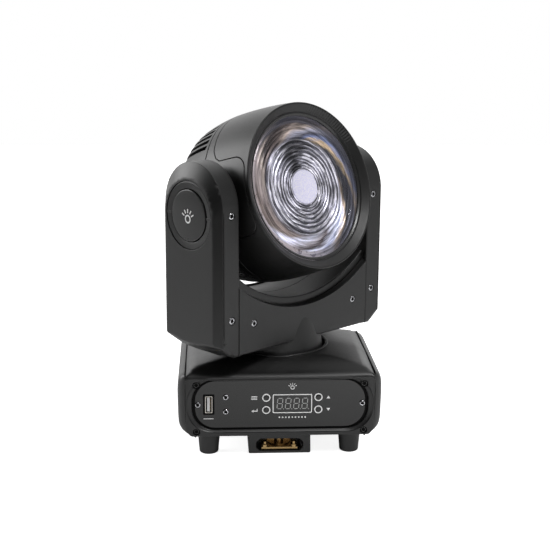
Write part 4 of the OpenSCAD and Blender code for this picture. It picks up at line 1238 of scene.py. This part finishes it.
def screw(head_r, depth, steps=24):
    """Screw head round +Y with its top at y = 0: flat top, rounded edge, and a star-shaped socket."""
    shape = Shape()
    socket = head_r * 0.56
    a = np.arange(steps) * 2 * math.pi / steps
    star = socket * (1 - 0.14 * np.cos(6 * a))
    rows, normals = [], []

    def ring(radius, y, outward, up):
        rows.append(on_axis(radius * np.cos(a), radius * np.sin(a), y, "y"))
        normals.append(on_axis(outward * np.cos(a), outward * np.sin(a), up, "y"))

    ring(head_r, -depth, 1, 0)
    ring(head_r, -0.45, 1, 0)
    ring(head_r - 0.15, -0.2, 0.8, 0.6)
    ring(head_r - 0.45, -0.06, 0.4, 0.9)
    ring(head_r - 0.9, 0.0, 0.1, 1)
    ring(star + 0.12, 0.0, 0, 1)
    ring(star + 0.12, 0.0, -0.6, 0.8)
    ring(star, -0.12, -0.9, 0.4)
    ring(star * 0.96, -0.85, -1, 0)
    ring(star * 0.96, -0.85, 0, 1)
    ring(0.02, -1.05, 0, 1)
    shape.grid(rows, normals, closed=True)
    return shape


def screws(name, body, places, head_r, depth, slot_name, stands_for):
    """Screws at places of (point, side, turn in degrees), and painted shade on the floors of their sockets."""
    shape, socket_shades = Shape(), Shape()
    one = screw(head_r, depth)
    # painted shade: a dark disc at the bottom of each socket
    floor = revolve(Shape(), [(head_r * 0.62, -0.55), (0, -0.7)], "y", 24, left=False)
    for at, side, turn in places:
        spin = place_screw(at, side) @ Matrix.Rotation(math.radians(turn), 4, "Y")
        shape.join(one.moved(spin))
        socket_shades.join(floor.moved(spin))
    shape.object(name, body, slot_name, stands_for)
    socket_shades.object(name + "_sockets", body, slot_name, look=BLACK_AND_PAINTED_SHADE)


yoke_places = []
for i, x in enumerate((-SIDE_SCREW_X, SIDE_SCREW_X)):
    for k, z in enumerate(SIDE_SCREWS):
        yoke_places.append(((x, YOKE_FRONT + 0.1, z), -1, 17 * i + 9 * k))
        yoke_places.append(((x, -YOKE_FRONT - 0.1, z), 1, 13 * k))
    for side in (-1, 1):
        at = (math.copysign(CENTRE_SCREW[0], x), side * (ARM_R - 0.2), CENTRE_SCREW[1])
        yoke_places.append((at, side, 21 * i))
screws("yoke_cover_screws", "yoke", yoke_places, 2.75, 2.2, "screw_silver", ["yoke_screws"])

# ---------- base ----------

BASE_FRONT = span("front_bezel", BASE)[0][1]
SEAM_X = 73.0
LIP_R = 41.4
NECK_HOLE = 39.4
CREST_Z = span("base_top_cover", BASE)[1][2]
PANEL_Z = 42.6
PANEL_HALF_W = 65.8
PANEL_HALF_H = 19.2
PANEL_Y = span("control_panel", BASE)[0][1]
ROLL_R = 3.0


def roof(x, y):
    """Height of the base's top: four slopes that meet round the neck, slightly hollow."""
    ax, ay = np.abs(x), np.abs(y)
    sides = CREST_Z - 0.20 * (ax - NECK_HOLE) - 0.012 * ay - 0.35 * np.maximum(ax - 66.0, 0) ** 1.2
    ends = CREST_Z - 0.49 * (ay - NECK_HOLE)
    hollow = 1.2 * (1 - (ax / SEAM_X) ** 2) * fade((ay - 44) / 12)
    return smooth_min(smooth_min(sides, ends, 0.9), CREST_Z - 0.2 + 0 * ax, 0.8) - hollow


def roof_over_edge(u, v):
    """The base's top with its front and rear edges rolled over. v runs along the base, then down its ends."""
    depth = -BASE_FRONT
    flat = depth - ROLL_R
    over = np.abs(v) - flat
    arc = math.pi / 2 * ROLL_R
    a = np.clip(over / ROLL_R, 0, math.pi / 2)
    y = np.where(over > 0, flat + ROLL_R * np.sin(a), np.abs(v))
    drop = np.where(over > 0, ROLL_R * (1 - np.cos(a)), 0) + np.maximum(over - arc, 0)
    top = roof(u, np.minimum(np.abs(v), flat))
    slope = roof(u, flat + 0 * u) - roof(u, flat - 0.5 + 0 * u)
    ease = np.where(over > 0, slope / 0.5 * ROLL_R * np.sin(a) * 0.6, 0)
    return np.stack([u, np.sign(v) * y, top + ease - drop], 1)


def base_top():
    """Sloping top cover with its rolled edges and the lip round the neck."""
    shape = Shape()
    reach = -BASE_FRONT - ROLL_R + math.pi / 2 * ROLL_R
    outline = rect(-SEAM_X + 0.15, SEAM_X - 0.15, -reach - 0.6, reach + 0.6)
    skin(shape, roof_over_edge, [outline, circle(0, 0, LIP_R, 110)], 2.2, edge=0.3, spacing=3.0)
    lip = Shape()
    angles = np.radians(np.arange(0, 360, 3.0))
    section = [
        (LIP_R + 0.25, -1.6, 1, 0), (LIP_R + 0.25, 0.15, 1, 0.2), (LIP_R - 0.05, 0.55, 0.5, 0.9),
        (LIP_R - 0.9, 0.7, 0, 1), (NECK_HOLE + 0.5, 0.5, -0.4, 0.9), (NECK_HOLE, 0.0, -1, 0.2),
        (NECK_HOLE, -6, -1, 0),
    ]
    rows, normals = [], []
    for r, rise, out, up in section:
        x, y = r * np.cos(angles), r * np.sin(angles)
        z = roof(LIP_R * np.cos(angles), LIP_R * np.sin(angles)) + rise
        rows.append(np.stack([x, y, z], 1))
        normals.append(np.stack([out * np.cos(angles), out * np.sin(angles), np.full(len(angles), up)], 1))
    lip.grid(rows, normals, closed=True)
    shape.join(lip)
    shape.object("base_top", "base", "cover_plastic", ["base_top_cover"])
    # painted shade: a dark collar under the opening
    collar = revolve(Shape(), [(NECK_HOLE, 69.5), (33.5, 69.5)], "z", 90)
    collar.object("neck_well_shade", "base", look=BLACK_AND_PAINTED_SHADE)


# Right side of the base in profile, from its top edge down, as (x, z)
CHEEK = curve([
    (73.1, 66.8), (74.4, 66.7), (75.9, 65.9), (77.3, 64.2), (78.3, 61.2), (78.9, 56), (79.0, 50),
    (78.85, 42), (78.7, 34), (78.3, 27.5), (77.2, 23.6), (75.6, 21.2), (73.4, 19.5), (70.6, 18.3),
    (68, 17.6), (65.6, 17.5),
], 5)
CHEEK_LENGTH = lengths(CHEEK)
CHEEK_OUT = -unit(np.gradient(CHEEK, axis=0))[:, 1]  # how far each point faces sideways
CORNER_R = 10.0


def cheek_shift(y):
    """How far the side is drawn in near the base's front and rear corners."""
    over = np.clip(np.abs(y) - (-BASE_FRONT - CORNER_R), 0, CORNER_R * 0.995)
    return CORNER_R - np.sqrt(CORNER_R**2 - over**2)


def cheek_surface(u, v):
    """u runs down the side's profile, v along the base."""
    x, z = np.interp(u, CHEEK_LENGTH, CHEEK[:, 0]), np.interp(u, CHEEK_LENGTH, CHEEK[:, 1])
    out = np.interp(u, CHEEK_LENGTH, CHEEK_OUT)
    return np.stack([x - cheek_shift(v) * np.abs(out) ** 0.7 * np.sign(out), v, z], 1)


def base_cheek():
    y = -BASE_FRONT - 0.85
    loop = rect(0.2, float(CHEEK_LENGTH[-1]), -y, y)
    return skin(Shape(), cheek_surface, [loop], 2.2, edge=0.3, spacing=2.6)


BAND_X, BAND_Z = 6.0, 2.9


def panel_loop(grow, sideways=None):
    """Outline of the panel, grown by some millimetres, or by different amounts sideways and up and down."""
    sideways = grow if sideways is None else sideways
    w, h = PANEL_HALF_W + sideways, PANEL_HALF_H + grow
    return rect(-w, w, PANEL_Z - h, PANEL_Z + h, 16 + 0.4 * grow + 0.5 * sideways)


def band_loop(share):
    """Outline between the panel's edge (0) and the outer edge of the band round it (1)."""
    return panel_loop(BAND_Z * share, BAND_X * share)


def bezel_surface(u, v):
    """Front face: flat in the middle, swept back at both ends to meet the sides."""
    over = np.clip(np.abs(u) - 69.0, 0, CORNER_R * 0.9)
    y = BASE_FRONT + CORNER_R - np.sqrt(CORNER_R**2 - over**2)
    y = y + 0.35 * fade((22 - v) / 5) ** 2 * 1.5
    return np.stack([u, y, v], 1)


def bezel_outline():
    side, foot, top, bend, low = 72.75, 68.8, 64.2, 22.5, 17.55
    return soft([
        (-side, top), (side, top), (side, bend, 5), (foot, low, 3), (-foot, low, 3), (-side, bend, 5),
    ])


CORNER_SCREWS = [(sx * 64.5, z) for sx in (-1, 1) for z in (21.3, 58.9)]
COUNTERBORE = 2.85


def mouth_outline():
    """Edge of the face round the panel, widened where a corner screw's counterbore cuts into it."""
    loop = even(band_loop(1.0), 600)
    for x, z in CORNER_SCREWS:
        centre = np.array([x, z])
        away = loop - centre
        near = np.linalg.norm(away, axis=1) < COUNTERBORE
        if not near.any():
            continue
        first = int(np.nonzero(near & ~np.roll(near, 1))[0][0])
        count = int(near.sum())
        loop = np.roll(loop, -first, axis=0)
        ends = loop[[-1, count]] - centre
        a0, a1 = (math.atan2(e[1], e[0]) for e in ends)
        outward = math.atan2(z - PANEL_Z, x)
        turn = (a1 - a0) % (2 * math.pi)
        if (outward - a0) % (2 * math.pi) >= turn:
            turn -= 2 * math.pi
        arc = a0 + turn * np.arange(1, 16) / 16
        loop = np.vstack([centre + COUNTERBORE * np.stack([np.cos(arc), np.sin(arc)], 1), loop[count:]])
    return loop


def bezel():
    """Frame round the control panel, with a dished band that falls to a step at the panel's edge."""
    shape = Shape()
    mouth = mouth_outline()
    whole = [circle(x, z, COUNTERBORE, 28) for x, z in CORNER_SCREWS]
    apart = [h for h in whole if not inside(h, [mouth]).any()]
    skin(shape, bezel_surface, [bezel_outline(), mouth] + apart, 2.4, edge=0.28, spacing=2.8, rounds=4)
    cup = [(COUNTERBORE, 0.4), (COUNTERBORE - 0.1, -2.3), (0, -2.3)]
    for x, z in CORNER_SCREWS:
        bore = revolve(Shape(), cup, "y", 24, left=False)
        shape.join(bore.moved(place_screw((x, BASE_FRONT + 0.9, z), -1)))
    # sloping band between the front face and the panel
    rows = []
    levels = [
        (1.0, 0.0), (0.97, 0.35), (0.90, 0.75), (0.70, 1.25), (0.48, 1.6), (0.40, 1.8), (0.36, 2.3),
        (0.36, 4.0),
    ]
    for share, deep in levels:
        loop = even(band_loop(share), 720)
        y = bezel_surface(loop[:, 0], loop[:, 1])[:, 1] + deep
        for x, z in CORNER_SCREWS:
            cut = COUNTERBORE - np.hypot(loop[:, 0] - x, loop[:, 1] - z)
            y = np.maximum(y, BASE_FRONT + deep + (3.2 - deep) * fade(cut / 0.3))
        rows.append(np.stack([loop[:, 0], y, loop[:, 1]], 1))
    rows = np.array(rows)
    shape.grid(rows, ring_normals(rows), closed=True)
    shape.object("base_front_bezel", "base", "bezel_plastic", ["front_bezel"])
    # painted shade in the step between the band and the panel
    loops = [panel_loop(2.4, 3.4), panel_loop(-1.0)]
    groove = plate(Shape(), PANEL_Y + 0.9, loops, 0.4, edge=0.1, spacing=5, back=False)
    groove.object("panel_groove_shade", "base", "bezel_plastic", look=BLACK_AND_PAINTED_SHADE)


def even(loop, count):
    """Closed loop as count points at even distances."""
    ring = np.vstack([loop, loop[:1]])
    s = lengths(ring)
    t = np.arange(count) * s[-1] / count
    return np.stack([np.interp(t, s, ring[:, 0]), np.interp(t, s, ring[:, 1])], 1)


BUTTON_AT = [(x, z) for x in (-10.8, 29.4) for z in (47.55, 37.65)]
BUTTON_R = 2.2
USB_X = -55.0
USB_SCREW_X = -42.0
DISPLAY_X = 9.3
PRINT_Y = PANEL_Y - 0.06
DIGIT_Y = PANEL_Y + 0.28
DIGIT_X = DISPLAY_X - 9.6
DIGIT_STEP = 6.4
DIGIT_LEAN = 0.09


def window(x, half_w, half_h, r):
    """Outline round a point on the panel's middle line."""
    return rect(x - half_w, x + half_w, PANEL_Z - half_h, PANEL_Z + half_h, r)


def panel():
    holes = [circle(x, z, BUTTON_R + 0.2, 28) for x, z in BUTTON_AT]
    holes += [window(USB_X, 3.3, 7.3, 0.6), window(DISPLAY_X, 14.55, 6.95, 0.3)]
    front = plate(Shape(), PANEL_Y, [panel_loop(-0.25)] + holes, 2.0, edge=0.25, spacing=6)
    front.object("control_panel_front", "base", "panel_gloss", ["control_panel"])


def panel_print():
    """Generic marks: rings, a frame, a list, an enter corner, arrows, a bar, dots and a lamp."""
    ink = Shape()

    def mark(outer, *holes):
        plate(ink, PRINT_Y, [outer, *holes], 0.05, edge=0.02, spacing=3, back=False, rounds=1)

    for x, z in BUTTON_AT:
        mark(circle(x, z, 3.15, 40), circle(x, z, 2.35, 40))
    mark(window(DISPLAY_X, 15.2, 7.6, 1.0), window(DISPLAY_X, 14.5, 6.9, 0.5))
    for i in range(3):
        mark(rect(-22.4, -17.8, 46.1 + 1.15 * i, 46.6 + 1.15 * i, 0.1))
    mark(np.array([
        (-18.2, 38.6), (-17.6, 38.6), (-17.6, 36.5), (-20.6, 36.5), (-20.6, 35.7), (-22.2, 36.85),
        (-20.6, 38.0), (-20.6, 37.15), (-18.2, 37.15),
    ]))
    mark(np.array([(35.6, 46.5), (38.6, 46.5), (37.1, 48.7)]))
    mark(np.array([(35.6, 38.7), (38.6, 38.7), (37.1, 36.5)]))
    mark(rect(USB_X - 4.2, USB_X + 3.6, 30.9, 31.4, 0.1))
    for i in range(9):
        mark(circle(DISPLAY_X - 10 + 2.5 * i, 31.6, 0.62, 16))
    lamp_mark(mark, DISPLAY_X, 55.6, 0.62)
    ink.object("panel_print", "base", "panel_gloss", look=PRINT)


def segment(x, z, wide, high):
    """Bar of a digit with pointed ends, leaning like the digit."""
    length, width = max(wide, high) / 2, min(wide, high) / 2
    flat = length - width
    ends = [(length, 0), (flat, width), (-flat, width), (-length, 0), (-flat, -width), (flat, -width)]
    points = np.array(ends if wide > high else [(b, a) for a, b in ends])
    points[:, 0] += points[:, 1] * DIGIT_LEAN
    return points + np.array([x + (z - PANEL_Z) * DIGIT_LEAN, z])


def display():
    """Four unlit digits behind a smoked window."""
    digits = Shape()
    loops = []
    for i in range(4):
        x = DIGIT_X + DIGIT_STEP * i
        loops += [segment(x, PANEL_Z + dz, 3.1, 0.62) for dz in (-4.2, 0, 4.2)]
        loops += [segment(x + dx, PANEL_Z + dz, 0.62, 3.6) for dx in (-1.95, 1.95) for dz in (-2.1, 2.1)]
        loops.append(circle(x + 2.85, PANEL_Z - 4.3, 0.4, 12))
    for loop in loops:
        plate(digits, DIGIT_Y, [loop], 0.05, edge=0.02, spacing=2, back=False, rounds=1)
    digits.object("display_digits", "base", "display_window", look=DIGITS)
    cover = plate(Shape(), PANEL_Y + 0.3, [window(DISPLAY_X, 14.6, 7.0, 0.3)], 1.5, edge=0.2, spacing=5)
    cover.object("display_cover", "base", "display_window", ["display_module"])


def usb():
    """USB-A port on end: black surround, metal shell, and the tongue inside."""
    y = PANEL_Y - 0.25
    loops = [window(USB_X, 4.4, 8.3, 0.8), window(USB_X, 3.0, 6.95, 0.4)]
    surround = plate(Shape(), y, loops, 1.6, edge=0.25)
    surround.object("usb_surround", "base", "connector_plastic", look=BLACK_AND_PAINTED_SHADE)
    loops = [window(USB_X, 2.75, 6.7, 0.5), window(USB_X, 2.3, 6.25, 0.3)]
    shell = plate(Shape(), y - 0.1, loops, 9.0, edge=0.12)
    shell.object("usb_shell", "base", "plated_steel", ["usb_socket"])
    tongue = plate(Shape(), y + 0.7, [window(USB_X - 0.2, 1.1, 5.7, 0.2)], 7.0, edge=0.15)
    tongue.object("usb_tongue", "base", "connector_plastic", look=TONGUE)
    contacts = Shape()
    for i in range(4):
        z = PANEL_Z - 3.75 + 2.5 * i
        loop = rect(USB_X + 0.9, USB_X + 1.2, z - 0.5, z + 0.5, 0.1)
        plate(contacts, y + 0.62, [loop], 5.0, edge=0.05, spacing=2, rounds=1)
    contacts.object("usb_contacts", "base", "plated_steel", look=LOOKS["yellow_zinc"])
    # painted shade at the bottom of the port
    well = plate(Shape(), y + 8.5, [window(USB_X, 2.6, 6.6, 0.3)], 0.4, edge=0.1, spacing=4, back=False)
    well.object("usb_well_shade", "base", "connector_plastic", look=BLACK_AND_PAINTED_SHADE)


def buttons():
    for side, height in ((s, h) for s in ("left", "right") for h in ("upper", "lower")):
        body = f"button_{height}_{side}"
        low, high = span(body, BASE)
        top = -low[1]
        points = [(3.05, top - 3.4), (3.05, top - 2.5), (BUTTON_R, top - 2.5), (BUTTON_R, top - 0.55)]
        points += [(BUTTON_R - 0.2, top - 0.3), (BUTTON_R - 0.5, top - 0.16)]
        points += [(r, top - 0.16 + 0.14 * (1 - (r / BUTTON_R) ** 2)) for r in (1.2, 0.7, 0.0)]
        shape = revolve(Shape(), points, "y", 32, left=False)
        middle = (low + high) / 2
        shape = shape.moved(place_screw((middle[0], 0, middle[2]), -1))
        shape.object("push_" + body, body, "button_plastic", [body], place=BASE)


def foot(x, y):
    """Turned rubber foot with a rounded base."""
    points = [(8.8, 17.5), (8.7, 16.0), (7.6, 3.0), (7.5, 1.4)]
    points += [(6.3 + 1.2 * math.cos(a), 1.3 - 1.25 * math.sin(a)) for a in np.radians((20, 45, 70, 90))]
    points += [(3.4, 0.02), (3.2, 1.0), (0, 1.0)]
    return revolve(Shape(), points, "z", 48).moved(Matrix.Translation((x, y, 0)))


def feet():
    shape = Shape()
    for x in (-55, 55):
        for y in (-45, 45):
            shape.join(foot(x, y))
    shape.object("base_feet", "base", "foot_rubber", ["rubber_feet"])


def bracket():
    """Moulded bracket under the base with a chamfered window at each end."""
    low, high = span("rigging_bracket", BASE)
    shape = Shape()
    opening = soft([
        (-15.2, 2.3, 0.6), (15.2, 2.3, 0.6), (18.3, 5.3, 0.6), (18.3, 9.4, 0.6), (15.2, 12.4, 0.6),
        (-15.2, 12.4, 0.6), (-18.3, 9.4, 0.6), (-18.3, 5.3, 0.6),
    ])
    outline = soft([
        (low[0], low[2], 1.2), (high[0], low[2], 1.2), (high[0] - 0.4, high[2]), (low[0] + 0.4, high[2]),
    ])
    plate(shape, low[1], [outline, opening], high[1] - low[1], edge=0.6, spacing=5)
    shape.object("rigging_bracket_body", "base", "black_steel", ["rigging_bracket"])


def base():
    base_top()
    cheek = base_cheek()
    cheek.object("base_cheek_right", "base", "cover_plastic", ["base_side_right"])
    cheek.mirrored(0).object("base_cheek_left", "base", "cover_plastic", ["base_side_left"])
    bezel()
    panel()
    panel_print()
    display()
    usb()
    buttons()
    feet()
    bracket()
    at = [((x, BASE_FRONT + 1.2, z), -1, 30 * i) for i, (x, z) in enumerate(CORNER_SCREWS)]
    screws("bezel_corner_screws", "base", at, 2.6, 2.0, "screw_black", ["bezel_screws"])
    panel_screws = [(-63.4, 0), (63.4, 0), (USB_SCREW_X, 5.9), (USB_SCREW_X, -5.9)]
    at = [((x, PANEL_Y - 1.1, PANEL_Z + dz), -1, 25 * i) for i, (x, dz) in enumerate(panel_screws)]
    screws("panel_face_screws", "base", at, 2.25, 1.6, "screw_silver", ["panel_screws"])


base()

# ---------- finish of the CAD nodes that keep their own mesh ----------

for part in frame["record"]["subparts"]:
    kept = frame["nodes"][part["node"]]
    if part["material_slot"] in LOOKS:
        kept.data.materials.clear()
        kept.data.materials.append(LOOKS[part["material_slot"]])


# ---------- camera, floor and light ----------

VIEW_TURN, VIEW_TILT, VIEW_ROLL = math.radians(-3.34), math.radians(12.66), math.radians(0.40)
VIEW_DISTANCE = 0.9
AIM = Vector((0, 0, 0.14))
back = Vector((
    math.sin(VIEW_TURN) * math.cos(VIEW_TILT), -math.cos(VIEW_TURN) * math.cos(VIEW_TILT), math.sin(VIEW_TILT)
))
right = Vector((0, 0, 1)).cross(back).normalized()
up = back.cross(right)
camera = bpy.data.objects.new("camera", bpy.data.cameras.new("camera"))
bpy.context.scene.collection.objects.link(camera)
camera.matrix_world = (
    Matrix.Translation(AIM + back * VIEW_DISTANCE)
    @ Matrix((right, up, back)).transposed().to_4x4()
    @ Matrix.Rotation(VIEW_ROLL, 4, "Z")
)
camera.data.lens = 73.67
camera.data.shift_x, camera.data.shift_y = -0.0036, -0.0202
bpy.context.scene.camera = camera
bpy.context.scene.view_settings.view_transform = "Standard"


def floor_look():
    """Pale matt floor that the camera sees a little brighter than it is, as in a high-key studio."""
    n = Nodes("pale_floor")
    broad = n.noise(n.place(), 6, 3, 0.5)
    base = n.blend(broad, grey(0.88), grey(0.92))
    seen = n.math("MULTIPLY", n.add("LightPath").outputs["Is Camera Ray"], 0.85)
    shader = n.add(
        "BsdfPrincipled", Base_Color=base, Roughness=0.8, Specular_IOR_Level=0.1,
        Emission_Color=grey(1), Emission_Strength=seen,
    )
    return n.finish(shader.outputs[0])


floor_mesh = bpy.data.meshes.new("floor")
floor_mesh.from_pydata([(-1.5, -0.5, 0), (1.5, -0.5, 0), (1.5, 2, 0), (-1.5, 2, 0)], [], [(0, 1, 2, 3)])
floor_mesh.materials.append(floor_look())
floor = bpy.data.objects.new("floor", floor_mesh)
bpy.context.scene.collection.objects.link(floor)

# Soft light as seen from the object: (direction, cosines where it starts and is full, level)
AMBIENT = 0.03
GLOWS = [
    ((0.0, 1.0, 0.15), 0.35, 0.80, 1.25),
    ((0.30, -0.85, 0.55), 0.75, 0.95, 0.40),
    ((-1.0, 0.25, 0.00), 0.82, 0.97, 0.25),
    ((-0.88, 0.33, 0.36), 0.925, 0.980, 6.0),
    ((1.0, 0.10, 0.10), 0.80, 0.97, 0.60),
    ((0.25, -0.10, 1.0), 0.75, 0.95, 0.70),
]


def studio():
    """World that is white to the camera, and dim with a few glows to everything else."""
    n = Nodes("studio", bpy.data.worlds.new("studio"))
    way = n.add("TexCoord").outputs["Generated"]
    total = AMBIENT
    for toward, start, full, level in GLOWS:
        unit = tuple(Vector(toward).normalized())
        facing = n.add("VectorMath", operation="DOT_PRODUCT", in0=way, in1=unit).outputs["Value"]
        total = n.math("ADD", total, n.step(facing, start, full, high=level))
    seen = n.add("LightPath").outputs["Is Camera Ray"]
    strength = n.math("ADD", n.math("MULTIPLY", n.math("SUBTRACT", 1.0, seen), total), seen)
    shader = n.add("Background", Color=grey(1), Strength=strength)
    return n.finish(shader.outputs[0], "OutputWorld")


def softbox(name, place, aim, width, height, power, spread):
    light = bpy.data.lights.new(name, "AREA")
    light.shape, light.size, light.size_y, light.energy = "RECTANGLE", width, height, power
    light.spread = math.radians(spread)
    made = bpy.data.objects.new(name, light)
    bpy.context.scene.collection.objects.link(made)
    made.location = place
    made.rotation_euler = (Vector(aim) - Vector(place)).to_track_quat("-Z", "Y").to_euler()


bpy.context.scene.world = studio()
softbox("front_fill", (0.55, -0.75, 1.3), (0.25, -0.5, 0), 0.5, 0.4, 3.4, 60)
